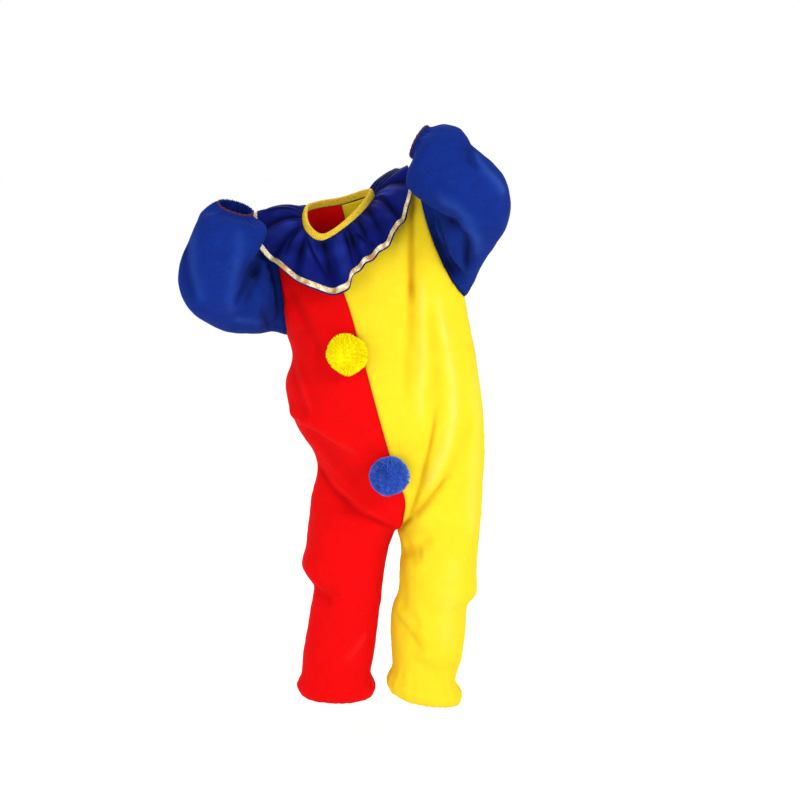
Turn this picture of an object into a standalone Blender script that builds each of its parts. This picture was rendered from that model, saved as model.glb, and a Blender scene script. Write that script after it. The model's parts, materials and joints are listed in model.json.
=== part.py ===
"""Clown jumpsuit for a toddler, held in its worn shape with both sleeves raised.

Two halves in two colours run from the neck to the ankles, each cut as a front and a back panel.
Full sleeves bend at the elbow towards the head, a fluted collar with a ribbon edge is gathered
on the neck, and two yarn pompoms are sewn on the centre-front seam.

Sizes are in millimetres, with +X to the wearer's left, -Y to the front and +Z up, and the
origin in the middle of the neck opening. The scene is in metres.
"""

import math
from collections import namedtuple

import bmesh
import bpy
import numpy as np

MM = 0.001

# Cloth
FLEECE = 1.8  # wall of the brushed body and sleeve cloth
SEAM_GAP = 0.3  # between two pieces that meet at a seam
SATIN = 1.2  # wall of the collar
RIBBON = 1.0
BINDING = 2.4  # folded band at the neck
MOST_MITRE = 1.6  # how much further a wall's corner reaches at a seam that turns

# Mesh spacing
ROW_SPACING = 19.0
PANEL_COLUMNS = 11  # from the side seam to the centre seam
SHOULDER_COLUMNS = 4  # of these, along the shoulder seam
ARMHOLE_ROWS = 11  # from the armpit to the shoulder tip
FLUTE_STEPS = 4  # collar columns to each column of the neckline

# ------------------------------------------------------------------ seam lines of the body
# Each level of the torso is a ring through four seams.
TorsoLevel = namedtuple("TorsoLevel", "name right left front back")
TORSO = [
    TorsoLevel("seat", (-37, 4, -384), (189, -4, -374), (87, -60, -374), (80, 68, -372)),
    TorsoLevel("hip", (-28, 8, -336), (190, -8, -322), (73, -71, -334), (79, 72, -328)),
    TorsoLevel("belly", (-56, 12, -286), (188, -10, -266), (59, -77, -284), (73, 68, -278)),
    TorsoLevel("waist", (-68, 14, -238), (181, -12, -212), (45, -76, -232), (63, 63, -226)),
    TorsoLevel("ribs", (-60, 15, -200), (173, -11, -166), (33, -71, -187), (51, 61, -182)),
    TorsoLevel("armpit", (-66, 15, -173), (164, -10, -120), (22, -66, -147), (38, 60, -142)),
]
CROTCH = (76, 4, -425)
CROTCH_CALM = 50.0  # no fold reaches its full depth nearer than this to the crotch

# Each level of a leg is a ring from the outseam to the inseam.
LegLevel = namedtuple("LegLevel", "name outseam outseam_z inseam inseam_z middle_y depth")
RIGHT_LEG = [
    LegLevel("thigh", -44, -450, 67, -448, 4, 57),
    LegLevel("above knee", -48, -475, 62, -474, 2, 54),
    LegLevel("knee", -34, -500, 58, -502, 0, 50),
    LegLevel("below knee", -38, -532, 54, -530, 2, 48),
    LegLevel("calf", -43, -562, 50, -562, 5, 47),
    LegLevel("ankle", -48, -596, 46, -596, 6, 46),
    LegLevel("above roll", -50, -621, 43, -621, 5, 45),
    LegLevel("roll", -56, -636, 49, -638, 3, 51),
    LegLevel("roll foot", -51, -648, 45, -650, 3, 47),
    LegLevel("turn under", -43, -651, 37, -653, 3, 39),
    LegLevel("elastic", -37, -643, 31, -643, 4, 34),
]
LEFT_LEG = [
    LegLevel("thigh", 184, -450, 82, -448, -2, 57),
    LegLevel("above knee", 182, -477, 80, -474, -5, 55),
    LegLevel("knee", 181, -508, 79, -504, -6, 52),
    LegLevel("below knee", 170, -526, 71, -532, -3, 49),
    LegLevel("calf", 168, -562, 69, -562, 1, 48),
    LegLevel("ankle", 163, -598, 70, -592, 3, 47),
    LegLevel("above roll", 154, -631, 70, -613, 2, 45),
    LegLevel("roll", 163, -648, 63, -628, 0, 51),
    LegLevel("roll foot", 160, -661, 68, -643, 0, 47),
    LegLevel("turn under", 150, -663, 76, -648, 0, 39),
    LegLevel("elastic", 144, -655, 82, -641, 1, 34),
]

# The neck opening, as a closed line through eight stations.
Station = namedtuple("Station", "name x y z")
NECK = [
    Station("front", -15, -48, -47),
    Station("front left", 22, -38, -22),
    Station("left", 46, -6, 5),
    Station("back left", 38, 26, 6),
    Station("back", 5, 38, -4),
    Station("back right", -28, 27, -9),
    Station("right", -42, -4, -15),
    Station("front right", -37, -34, -36),
]
NECK_TOWARDS = (5, 0, 120)  # the neckband leans to this point
NECKBAND_HEIGHT = 9.5

# An armhole runs from the armpit up the front and the back to the shoulder tip. Its bends are
# the points that pull each half of the line forwards or backwards, and its sleeve leaves it
# in the direction away from the body.
Armhole = namedtuple("Armhole", "tip front_low front_high back_low back_high away")
RIGHT_ARMHOLE = Armhole((-86, 0, -42), (-66, -40, -150), (-72, -50, -60), (-70, 62, -150), (-84, 52, -60), (-0.97, -0.20, 0.10))
LEFT_ARMHOLE = Armhole((106, 0, 32), (146, -64, -95), (106, -64, 0), (152, 48, -95), (108, 54, 0), (0.90, -0.30, 0.30))

# ------------------------------------------------------------------ sleeves
# A ring's reaches are how far it stands from its middle: towards the outer side, the inner
# side, the front and the back.
SleeveRing = namedtuple("SleeveRing", "name middle along outer reach_out reach_in reach_front reach_back")
RIGHT_SLEEVE = [
    SleeveRing("upper arm", (-104, -32, -113), (-0.80, -0.60, -0.05), (0.0, 0.0, -1.0), 54, 46, 42, 46),
    SleeveRing("above elbow", (-128, -66, -110), (-0.70, -0.70, 0.15), (-0.15, 0.0, -1.0), 53, 33, 44, 48),
    SleeveRing("elbow", (-150, -92, -98), (-0.40, -0.62, 0.68), (-0.72, -0.10, -0.68), 50, 27, 49, 43),
    SleeveRing("below elbow", (-147, -102, -72), (-0.05, -0.20, 0.97), (-1.0, 0.0, -0.10), 47, 42, 44, 34),
    SleeveRing("forearm", (-138, -97, -44), (0.12, 0.05, 0.99), (-1.0, 0.05, 0.08), 41, 50, 43, 37),
    SleeveRing("blouse", (-128, -88, -16), (0.24, -0.05, 0.97), (-1.0, 0.0, 0.25), 39, 46, 40, 36),
    SleeveRing("gather", (-124, -84, -9), (0.28, -0.15, 0.95), (-1.0, 0.0, 0.34), 32, 24, 26, 26),
    SleeveRing("cuff", (-122, -83, -2), (0.30, -0.25, 0.92), (-1.0, 0.0, 0.32), 22, 22, 22, 22),
]
LEFT_SLEEVE = [
    SleeveRing("upper arm", (152, -40, -36), (0.60, -0.70, 0.38), (0.50, -0.15, -0.85), 57, 42, 39, 45),
    SleeveRing("above elbow", (167, -68, -18), (0.50, -0.70, 0.50), (0.70, -0.10, -0.70), 46, 20, 43, 45),
    SleeveRing("elbow", (180, -92, 0), (0.00, -0.60, 0.80), (0.96, -0.20, -0.14), 48, 22, 47, 37),
    SleeveRing("below elbow", (178, -104, 15), (-0.60, -0.15, 0.77), (0.77, -0.10, 0.60), 47, 38, 43, 31),
    SleeveRing("forearm", (164, -105, 24), (-0.86, 0.08, 0.50), (0.50, -0.05, 0.86), 46, 45, 41, 29),
    SleeveRing("notch", (151, -100, 33), (-0.88, 0.15, 0.44), (0.44, -0.05, 0.90), 43, 46, 41, 31),
    SleeveRing("blouse", (129, -89, 55), (-0.82, 0.20, 0.54), (0.56, -0.05, 0.82), 52, 55, 43, 34),
    SleeveRing("droop", (114, -79, 66), (-0.79, 0.22, 0.58), (0.60, -0.05, 0.79), 43, 50, 39, 33),
    SleeveRing("gather", (109, -73, 75), (-0.86, 0.26, 0.46), (0.50, -0.05, 0.86), 24, 24, 24, 24),
    SleeveRing("cuff", (104, -71, 79), (-0.86, 0.28, 0.46), (0.50, -0.05, 0.86), 22, 22, 22, 22),
]
SLEEVE_ROUNDS = 3
SLEEVE_HEAD = 13.0  # how far a sleeve leaves the armhole before it turns along the arm

# ------------------------------------------------------------------ collar
# A spoke leaves the neckline at a place counted in its stations and ends at the collar's edge.
Spoke = namedtuple("Spoke", "name neck x y z")
COLLAR = [
    Spoke("back", 4.0, 14, 88, -28),
    Spoke("back right", 4.6, -28, 91, -38),
    Spoke("right back", 5.15, -66, 76, -28),
    Spoke("right blade", 5.6, -94, 42, -18),
    Spoke("right shoulder", 6.05, -106, -4, -15),
    Spoke("right", 6.55, -101, -42, -52),
    Spoke("right front", 7.05, -72, -60, -78),
    Spoke("front right", 7.5, -38, -84, -100),
    Spoke("front", 8.0, -4, -94, -108),
    Spoke("over the fold", 8.38, 18, -94, -104),
    Spoke("behind the fold", 8.62, 26, -90, -82),
    Spoke("front left", 9.0, 46, -89, -67),
    Spoke("left front", 9.45, 67, -80, -46),
    Spoke("left chest", 9.8, 83, -64, -23),
    Spoke("left", 10.1, 96, -40, 8),
    Spoke("left shoulder", 10.5, 97, -4, 44),
    Spoke("left back", 11.0, 78, 38, 42),
    Spoke("back left", 11.5, 52, 70, 6),
    Spoke("back again", 12.0, 14, 88, -28),
]
# Flutes are valleys of the collar, at places counted in spokes, with a half width to match.
Flute = namedtuple("Flute", "name place depth width")
FLUTES = [
    Flute("back", 0.75, 9, 0.22),
    Flute("back right", 1.7, 12, 0.26),
    Flute("right blade", 2.7, 11, 0.24),
    Flute("right shoulder", 3.65, 10, 0.24),
    Flute("right", 4.6, 11, 0.26),
    Flute("right front", 5.6, 12, 0.24),
    Flute("front right", 6.55, 9, 0.26),
    Flute("front", 8.0, 11, 0.42),
    Flute("behind the fold", 10.2, 10, 0.35),
    Flute("front left", 11.05, 6, 0.26),
    Flute("left front", 11.9, 10, 0.34),
    Flute("left", 13.2, 9, 0.26),
    Flute("left shoulder", 14.55, 10, 0.26),
    Flute("left back", 15.6, 9, 0.3),
    Flute("back left", 16.6, 12, 0.26),
    Flute("back edge", 17.45, 8, 0.2),
]
RIDGE = 3.5  # how far the collar stands up between its valleys
COLLAR_LIFT = 1.0  # between the body and the collar, at the neck
TRIM_WIDTH = 6.5
TRIM_INSET = 1.5  # from the collar's edge
COLLAR_WIDTH = 75.0
COLLAR_ROWS = [0.0, 0.22, 0.45, 0.68, 1 - (TRIM_INSET + TRIM_WIDTH) / COLLAR_WIDTH, 1 - TRIM_INSET / COLLAR_WIDTH, 1.0]

# ------------------------------------------------------------------ pompoms
Pompom = namedtuple("Pompom", "name middle colour")
POMPOMS = [
    Pompom("pompom_yellow", (14, -89.4, -184), (0.95, 0.75, 0.02)),
    Pompom("pompom_blue", (67, -90.4, -339), (0.03, 0.10, 0.55)),
]
POMPOM_RADIUS = 26.0
POMPOM_CORE = 20.5
POMPOM_BACK = 21.5  # from the middle to the side that is pressed on the cloth
LOCKS = 100  # yarn locks of each pompom

# ------------------------------------------------------------------ folds
# A fold is a trough with raised lips, along a line of points near the cloth.
Fold = namedtuple("Fold", "name panels depth width line")
FOLDS = [
    Fold("left long crease", ("front_left",), 5.0, 16,
         [(96, -45, -10), (99, -58, -50), (99, -62, -110), (98, -64, -180), (92, -66, -240)]),
    Fold("left hip crease", ("front_left",), 4.5, 15,
         [(122, -45, -268), (120, -50, -302), (110, -55, -334), (104, -58, -360), (97, -58, -387)]),
    Fold("left groin", ("front_left",), 6.0, 13, [(150, -35, -338), (120, -52, -368), (97, -56, -391), (82, -50, -410)]),
    Fold("left knee", ("front_left",), 4.0, 13, [(78, -30, -440), (92, -50, -450), (112, -55, -446)]),
    Fold("left shin", ("front_left",), 3.0, 13, [(76, -30, -512), (92, -48, -535), (106, -50, -556)]),
    Fold("right waist ridge", ("front_right", "back_right"), -5.0, 14,
         [(-60, 5, -262), (-54, -25, -271), (-30, -55, -278), (-5, -68, -292), (16, -72, -305)]),
    Fold("right groin", ("front_right",), 5.0, 13,
         [(-30, -10, -326), (-24, -20, -334), (-6, -48, -361), (12, -58, -380), (36, -58, -399), (62, -50, -412)]),
    Fold("right ribs", ("front_right",), 3.0, 14, [(-53, -40, -196), (-40, -58, -228), (-34, -64, -252)]),
    Fold("right armpit", ("front_right",), 3.5, 12, [(-62, -25, -108), (-45, -52, -144), (-36, -60, -164)]),
    Fold("right knee", ("front_right",), 4.0, 12, [(-38, -20, -500), (-15, -45, -508), (8, -50, -503)]),
    Fold("right waist at the back", ("back_right",), 4.5, 15,
         [(-40, 30, -300), (-10, 60, -312), (30, 70, -330), (60, 70, -352)]),
    Fold("right seat", ("back_right",), 4.0, 13, [(-20, 50, -392), (20, 64, -404), (55, 50, -418)]),
    Fold("left seat", ("back_left",), 4.0, 13, [(170, 40, -372), (135, 60, -394), (100, 55, -412)]),
    Fold("left waist at the back", ("back_left",), 3.5, 15, [(165, 35, -250), (135, 58, -272), (105, 68, -300)]),
    Fold("left blade", ("back_left",), 4.0, 15, [(110, 48, -20), (104, 56, -70), (100, 62, -130)]),
    Fold("right blade", ("back_right",), 3.5, 14, [(-60, 50, -70), (-40, 58, -110), (-20, 62, -160)]),
    Fold("right calf at the back", ("back_right",), 3.5, 13, [(-30, 40, -520), (5, 50, -534), (38, 38, -530)]),
    Fold("left calf at the back", ("back_left",), 3.5, 13, [(90, 40, -528), (122, 48, -538), (156, 36, -530)]),
    Fold("right elbow", ("sleeve_right",), 6.0, 11, [(-94, -62, -66), (-108, -72, -96), (-126, -80, -122)]),
    Fold("right sleeve head", ("sleeve_right",), 4.0, 10, [(-84, -45, -90), (-90, -55, -120), (-92, -50, -146)]),
    Fold("left sleeve head", ("sleeve_left",), 5.5, 11, [(124, -62, -32), (140, -60, -66), (158, -42, -100)]),
    Fold("left upper arm", ("sleeve_left",), 4.5, 10, [(160, -112, -12), (164, -96, -46), (168, -60, -80)]),
    Fold("left forearm", ("sleeve_left",), -4.0, 12, [(148, -95, 70), (164, -100, 48), (180, -105, 19)]),
]


# ------------------------------------------------------------------ lines and tables
def column(table, name):
    """One named column of a table, as an array of floats."""
    return np.array([getattr(row, name) for row in table], float)


def through(keys, at, closed=False):
    """Points at the places `at` along a smooth line through the rows of `keys`.

    Place 0 is the first row and place 1 the second; a closed line returns to the first.
    """
    keys = np.asarray(keys, float)
    count = len(keys)
    at = np.asarray(at, float)
    last = count if closed else count - 1
    low = np.clip(np.floor(at).astype(int), 0, last - 1)
    share = (at - low).reshape((-1,) + (1,) * (keys.ndim - 1))

    def key(index):
        return keys[index % count] if closed else keys[np.clip(index, 0, count - 1)]

    before, start, end, after = (key(low + step) for step in (-1, 0, 1, 2))
    leave = (end - before) / 2
    arrive = (after - start) / 2
    square, cube = share**2, share**3
    return (
        (2 * cube - 3 * square + 1) * start
        + (cube - 2 * square + share) * leave
        + (3 * square - 2 * cube) * end
        + (cube - square) * arrive
    )


def bezier(a, b, c, d, at):
    """A cubic line from a to d, pulled towards b and c."""
    t = np.asarray(at, float)[:, None]
    u = 1 - t
    return u**3 * np.array(a) + 3 * u * u * t * np.array(b) + 3 * u * t * t * np.array(c) + t**3 * np.array(d)


def evenly(line, count, lean=0.0):
    """The line again, as count + 1 points at equal steps along it, or leaning to its end."""
    steps = np.linalg.norm(np.diff(line, axis=0), axis=1)
    along = np.concatenate([[0], np.cumsum(steps)])
    at = np.linspace(0, 1, count + 1)
    at = (at + lean * at * (1 - at)) * along[-1]
    return np.stack([np.interp(at, along, line[:, k]) for k in range(3)], axis=1)


def ease(share):
    return share * share * (3 - 2 * share)


# ------------------------------------------------------------------ one half of the body
def half_keys(side, leg):
    """Key sections of one half, from the ankle up: side seam, inner seams, turn, depths and lean.

    The turn is the angle that a section sweeps, 180 degrees round half a leg and 90 degrees
    over a quarter of the torso. The lean slides the columns towards the inner seam above the
    crotch, so that they run on into the leg.
    """
    rows = []
    for level in reversed(leg):
        outer = (level.outseam, level.middle_y, level.outseam_z)
        inner = (level.inseam, level.middle_y, level.inseam_z)
        rows.append((outer, inner, inner, 180, level.depth, level.depth, 0))
    seat = TORSO[0]
    seat_side = np.array(getattr(seat, side), float)
    thigh_side = np.array(rows[-1][0], float)
    for quarter in (3, 2, 1):
        turned = quarter / 3
        bend = math.radians(90 * turned)
        drop = np.array([turned**2, 1 - math.cos(bend), math.sin(bend)])
        outer = seat_side + (thigh_side - seat_side) * turned * 0.72
        front, back = (np.array(seam, float) + (np.array(CROTCH) - np.array(seam)) * drop for seam in (seat.front, seat.back))
        depth = [abs(outer[1] - inner) * 0.96 for inner in (seat.front[1], seat.back[1])]
        rows.append((outer, front, back, 90 + 90 * turned, *depth, 0.35 * (1 - turned**3)))
    for level, lean in zip(TORSO, (0.35, 0.25, 0.12, 0, 0, 0)):
        outer = np.array(getattr(level, side), float)
        depths = (outer[1] - level.front[1], level.back[1] - outer[1])
        rows.append((outer, level.front, level.back, 90, *depths, lean))
    return rows


def key_places(legs, spacing):
    """(places of each leg's rows, places of the torso's rows), about `spacing` apart.

    Places are counted in key sections from the ankle. The torso's rows meet at the centre
    seams, so both halves share them.
    """
    leg_places = []
    for leg in legs:
        places = [0.0]
        for index, (low, high) in enumerate(zip(leg[::-1], leg[-2::-1])):
            parts = max(1, round(abs(high.outseam_z - low.outseam_z) / spacing))
            places += [index + (part + 1) / parts for part in range(parts)]
        leg_places.append(places)
    torso_places = [1.0, 2.0, 3.0, 4.0]
    for index, (low, high) in enumerate(zip(TORSO, TORSO[1:])):
        parts = max(1, round(np.linalg.norm(np.array(high.front) - np.array(low.front)) / spacing))
        torso_places += [4 + index + (part + 1) / parts for part in range(parts)]
    return leg_places, torso_places


def arc(outer, inner, turn, depth, lean, forward, columns):
    """A section from the side seam to an inner seam, as part of an ellipse.

    forward is -1 for a front panel and +1 for a back one.
    """
    angle = math.radians(turn)
    pull = 4 / 3 * math.tan(angle / 4)
    half_width = (inner[0] - outer[0]) / (1 - math.cos(angle))
    rise = (inner[2] - outer[2]) / 3
    leave = np.array([0, forward * depth * pull, rise * 0.5])
    arrive = np.array([half_width * math.sin(angle), forward * depth * math.cos(angle), 0]) * pull
    line = bezier(outer, outer + leave, inner - arrive, inner, np.linspace(0, 1, 60))
    return evenly(line, columns, lean)


def lower_rows(side, leg, places, columns):
    """(front rows, back rows) of one half, from the ankle to the armpit."""
    keys = half_keys(side, leg)
    outer, front, back = (through([k[i] for k in keys], places) for i in range(3))
    turn, depth_front, depth_back, lean = (through([k[i] for k in keys], places) for i in (3, 4, 5, 6))
    crotch_row = list(places).index(float(len(leg)))
    turn[: crotch_row + 1] = 180
    turn = np.clip(turn, 90, 180)
    back[: crotch_row + 1] = front[: crotch_row + 1]
    front_rows = [arc(*row, -1, columns) for row in zip(outer, front, turn, depth_front, lean)]
    back_rows = [arc(*row, 1, columns) for row in zip(outer, back, turn, depth_back, lean)]
    return np.array(front_rows), np.array(back_rows)


def neck_line(start, end, count):
    """Points of the neck opening between two places counted in its stations."""
    keys = np.array([(s.x, s.y, s.z) for s in NECK], float)
    return evenly(through(keys, np.linspace(start, end, 60) % len(NECK), closed=True), count)


def upper_rows(below, tip, neckline, armhole_line, seam_line, forward, columns, shoulder_columns):
    """Rows between the armpit's section and the top.

    Each row is an arc from the armhole to the centre seam, eased into the top row, which is the
    shoulder seam followed by the neckline.
    """
    share = np.linspace(0, 1, columns + 1)[:, None]
    along_shoulder = np.linspace(0, 1, shoulder_columns + 1)[:-1, None]
    top = np.concatenate([tip + (neckline[0] - tip) * along_shoulder, neckline])
    top_bulge = top - (top[0] + (top[-1] - top[0]) * share)
    rows = [below]
    steps = len(armhole_line) - 1
    for step in range(1, steps + 1):
        outer, inner = armhole_line[step], seam_line[step]
        mix = (step / steps) ** 3
        depth = forward * (inner[1] - outer[1])
        curved = arc(outer, inner, 90, max(depth, 0), 0, forward, columns)
        flat = outer + (inner - outer) * share + top_bulge
        rows.append(curved * (1 - mix) + flat * mix)
    return np.array(rows)


def seam_above(seam, end, rows):
    """The centre seam from the armpit level to the neck, leaving along the seam below."""
    armpit, ribs = (np.array(getattr(level, seam), float) for level in (TORSO[-1], TORSO[-2]))
    reach = np.linalg.norm(np.array(end) - armpit)
    leave = (armpit - ribs) / np.linalg.norm(armpit - ribs) * reach * 0.35
    arrive = (np.array(end) - armpit) * 0.35
    return evenly(bezier(armpit, armpit + leave, np.array(end) - arrive, end, np.linspace(0, 1, 60)), rows)


def body_half(side, leg, armhole, stations, places, columns, shoulder_columns, armhole_rows):
    """(front grid, back grid, armpit row) of one half of the body.

    A grid's rows run from the ankle to the shoulder, and its columns from the side seam to the
    inner seam. The stations are the places of the shoulder, front and back on the neckline.
    """
    front, back = lower_rows(side, leg, places, columns)
    armpit = np.array(getattr(TORSO[-1], side), float)
    tip = np.array(armhole.tip, float)
    share = np.linspace(0, 1, 60)
    shoulder, *ends = stations
    grids = []
    for lower, station, low, high, seam, forward in (
        (front, ends[0], armhole.front_low, armhole.front_high, "front", -1),
        (back, ends[1], armhole.back_low, armhole.back_high, "back", 1),
    ):
        neckline = neck_line(shoulder, station, columns - shoulder_columns)
        edge = evenly(bezier(armpit, low, high, tip, share), armhole_rows)
        centre = seam_above(seam, neckline[-1], armhole_rows)
        upper = upper_rows(lower[-1], tip, neckline, edge, centre, forward, columns, shoulder_columns)
        grids.append(np.concatenate([lower, upper[1:]]))
    return grids[0], grids[1], len(front) - 1


# ------------------------------------------------------------------ sleeves
def ring_frame(ring):
    along = np.array(ring.along) / np.linalg.norm(ring.along)
    outer = np.array(ring.outer) - np.dot(ring.outer, along) * along
    outer /= np.linalg.norm(outer)
    return along, outer


def sleeve_keys(armhole_loop, away, rings, hand):
    """Key loops from the armhole to the cuff, each started where it does not twist the last."""
    count = len(armhole_loop)
    middle = armhole_loop.mean(axis=0)
    keys = [armhole_loop, middle + (armhole_loop - middle) * 0.98 + np.array(away) * SLEEVE_HEAD]
    start = armhole_loop[0] - armhole_loop.mean(axis=0)
    for ring in rings:
        along, outer = ring_frame(ring)
        front = np.cross(along, outer) * hand
        start = start - np.dot(start, along) * along
        turned = math.atan2(start @ front, start @ outer)
        angles = turned + np.arange(count) / count * 2 * math.pi
        across, deep = np.cos(angles)[:, None], np.sin(angles)[:, None]
        reach_across = np.where(across > 0, ring.reach_out, ring.reach_in)
        reach_deep = np.where(deep > 0, ring.reach_front, ring.reach_back)
        keys.append(np.array(ring.middle) + across * reach_across * outer + deep * reach_deep * front)
    return keys


def sleeve_grid(armhole_loop, away, rings, hand, spacing):
    """Rows from the armhole to the cuff; its columns go round from the underarm by the front."""
    keys = sleeve_keys(armhole_loop, away, rings, hand)
    middles = np.array([key.mean(axis=0) for key in keys])
    places = [0.0]
    for index, step in enumerate(np.linalg.norm(np.diff(middles, axis=0), axis=1)):
        parts = max(1, round(step / spacing))
        places += [index + (part + 1) / parts for part in range(parts)]
    return relaxed(through(keys, places), SLEEVE_ROUNDS)


def relaxed(grid, rounds):
    """A sleeve's grid with its tight bends eased; the armhole and the cuff stay where they are."""
    for _ in range(rounds):
        along = (grid[:-2] + grid[2:]) / 2
        round_ = (np.roll(grid, 1, axis=1) + np.roll(grid, -1, axis=1))[1:-1] / 2
        eased = grid[1:-1] * 0.5 + along * 0.3 + round_ * 0.2
        hold = np.minimum(np.arange(len(eased))[::-1] / 3, 1)[:, None, None]
        grid = np.concatenate([grid[:1], grid[1:-1] + (eased - grid[1:-1]) * hold, grid[-1:]])
    return grid


# ------------------------------------------------------------------ collar and neckband
def neck_ring():
    """The neckline of the four panels as one closed line, from the back by the right."""
    quarters = [neck_line(start, start + 2, PANEL_COLUMNS - SHOULDER_COLUMNS) for start in (4, 6, 0, 2)]
    return np.concatenate([quarter[:-1] for quarter in quarters] + [quarters[-1][-1:]])


def divided(line, parts):
    """The same line with every step cut into equal parts, keeping its corners."""
    at = np.arange((len(line) - 1) * parts + 1) / parts
    return np.stack([np.interp(at, np.arange(len(line)), line[:, k]) for k in range(3)], axis=1)


def collar_grid(parts, rows):
    """The collar from the neckline to its edge; its columns start at the back."""
    ring = neck_ring()
    inner = divided(ring, parts)
    away = ring - np.array(NECK_TOWARDS)
    away[:, 2] = 0
    away = divided(away / np.linalg.norm(away, axis=1)[:, None], parts)
    inner = inner + away * 2.0 + np.array([0, 0, 1]) * (SATIN + COLLAR_LIFT)
    neck = np.linspace(4, 12, len(inner))
    spoke = np.interp(neck, column(COLLAR, "neck"), np.arange(len(COLLAR)))
    outer = through(np.array([(s.x, s.y, s.z) for s in COLLAR], float), spoke)
    rise = np.array([0, 0, 14.0])
    base = np.array([bezier(i, i + (o - i) * 0.3 + rise, i + (o - i) * 0.72 + rise * 0.6, o, rows) for i, o in zip(inner, outer)])
    base = base.transpose(1, 0, 2)
    normal = grid_normals(base)
    valley = np.zeros(len(spoke))
    for flute in FLUTES:
        valley += flute.depth * np.exp(-(((spoke - flute.place) / flute.width) ** 2))
    wave = RIDGE - valley
    swell = np.array([min(1.0, (row * 1.05) ** 0.85) for row in rows])
    return base + normal * (swell[:, None] * wave[None, :])[..., None]


def grid_normals(grid):
    """Unit normals of a grid whose rows end where they start, turned away from the body."""
    down = np.gradient(grid, axis=0)
    ring = grid[:, :-1]
    round_ = np.roll(ring, -1, axis=1) - np.roll(ring, 1, axis=1)
    round_ = np.concatenate([round_, round_[:, :1]], axis=1)
    normal = np.cross(down, round_)
    return normal / np.linalg.norm(normal, axis=2)[..., None]


def neckband_profiles(parts):
    """A closed ring of profiles, each a rounded strip that stands above the neckline."""
    ring = neck_ring()
    line = divided(ring, parts)
    up = np.array(NECK_TOWARDS) - ring
    up = divided(up / np.linalg.norm(up, axis=1)[:, None], parts)
    out = ring - np.array(NECK_TOWARDS)
    out[:, 2] = 0
    out = divided(out / np.linalg.norm(out, axis=1)[:, None], parts)
    half = BINDING / 2
    foot = 0.5
    profile = [(-half, foot), (half, foot), (half + 0.3, foot + 4), (half, NECKBAND_HEIGHT + foot - 1), (0, NECKBAND_HEIGHT + foot), (-half, NECKBAND_HEIGHT + foot - 1)]
    return np.array([line + out * across + up * high for across, high in profile])


# ------------------------------------------------------------------ from grids to solids
class Shell:
    """One skin of cloth, so that pieces share their points and normals where they meet."""

    def __init__(self, weld=True):
        self.points = []
        self.index = {}
        self.pieces = {}
        self.weld = weld

    def vertex(self, point):
        key = tuple(np.round(point, 2)) if self.weld else len(self.points)
        if key not in self.index:
            self.index[key] = len(self.points)
            self.points.append(np.array(point, float))
        return self.index[key]

    def add(self, name, grid, closed=False, flip=False):
        """Adds a grid of points as a piece's faces."""
        ids = [[self.vertex(p) for p in row] for row in grid]
        width = len(ids[0])
        for low, high in zip(ids, ids[1:]):
            for i in range(width if closed else width - 1):
                j = (i + 1) % width
                face = [low[i], low[j], high[j], high[i]]
                self.pieces.setdefault(name, []).append(face[::-1] if flip else face)

    def triangulate(self):
        """Cuts every face of four along its shorter diagonal, the same way on both sides of a wall."""
        points = np.array(self.points)
        for name, faces in self.pieces.items():
            cut = []
            for a, b, c, d in faces:
                if np.linalg.norm(points[a] - points[c]) <= np.linalg.norm(points[b] - points[d]):
                    cut += [[a, b, c], [a, c, d]]
                else:
                    cut += [[a, b, d], [b, c, d]]
            self.pieces[name] = cut

    def normals(self):
        """(unit normals, mitre) of the whole skin; the mitre lengthens a wall's corner."""
        points = np.array(self.points)
        total = np.zeros_like(points)
        corner = []
        for faces in self.pieces.values():
            own = np.zeros_like(points)
            for face in faces:
                ring = points[face]
                centre = ring.mean(axis=0)
                normal = sum(np.cross(ring[k - 1] - centre, ring[k] - centre) for k in range(len(ring)))
                for v in face:
                    own[v] += normal
                    corner.append((v, normal / max(np.linalg.norm(normal), 1e-9)))
            total += own / np.maximum(np.linalg.norm(own, axis=1), 1e-9)[:, None]
        unit = total / np.maximum(np.linalg.norm(total, axis=1), 1e-9)[:, None]
        least = np.ones(len(points))
        for v, normal in corner:
            least[v] = min(least[v], float(normal @ unit[v]))
        mitre = np.minimum(1 / np.maximum((1 + least) / 2, 0.1), MOST_MITRE)
        return unit, mitre

    def crease(self, folds):
        """Moves the points of each fold's panels along their normals."""
        unit, _ = self.normals()
        points = np.array(self.points)
        moved = points.copy()
        for fold in folds:
            own = sorted({v for name in fold.panels for face in self.pieces[name] for v in face})
            off, along = distance_to_line(points[own], unit[own], np.array(fold.line, float))
            reach = (off / fold.width) ** 2
            ends = ease(np.clip(along / 0.22, 0, 1)) * ease(np.clip((1 - along) / 0.22, 0, 1))
            calm = ease(np.clip(np.linalg.norm(points[own] - np.array(CROTCH), axis=1) / CROTCH_CALM, 0, 1))
            push = -fold.depth * (1 - reach) * np.exp(-reach) * ends * calm
            moved[own] += unit[own] * push[:, None]
        self.points = list(moved)


def distance_to_line(points, normals, line):
    """(distance along the cloth from each point to a line, share of the way along the line)."""
    steps = np.linalg.norm(np.diff(line, axis=0), axis=1)
    reached = np.concatenate([[0], np.cumsum(steps)])
    best = np.full(len(points), 1e9)
    along = np.zeros(len(points))
    for k, (a, b) in enumerate(zip(line, line[1:])):
        share = np.clip((points - a) @ (b - a) / steps[k] ** 2, 0, 1)
        gap = points - (a + (b - a) * share[:, None])
        height = np.sum(gap * normals, axis=1)
        far = np.sqrt(np.maximum(np.sum(gap * gap, axis=1) - 0.8 * height**2, 0))
        closer = far < best
        best = np.where(closer, far, best)
        along = np.where(closer, (reached[k] + share * steps[k]) / reached[-1], along)
    return best, along


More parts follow.
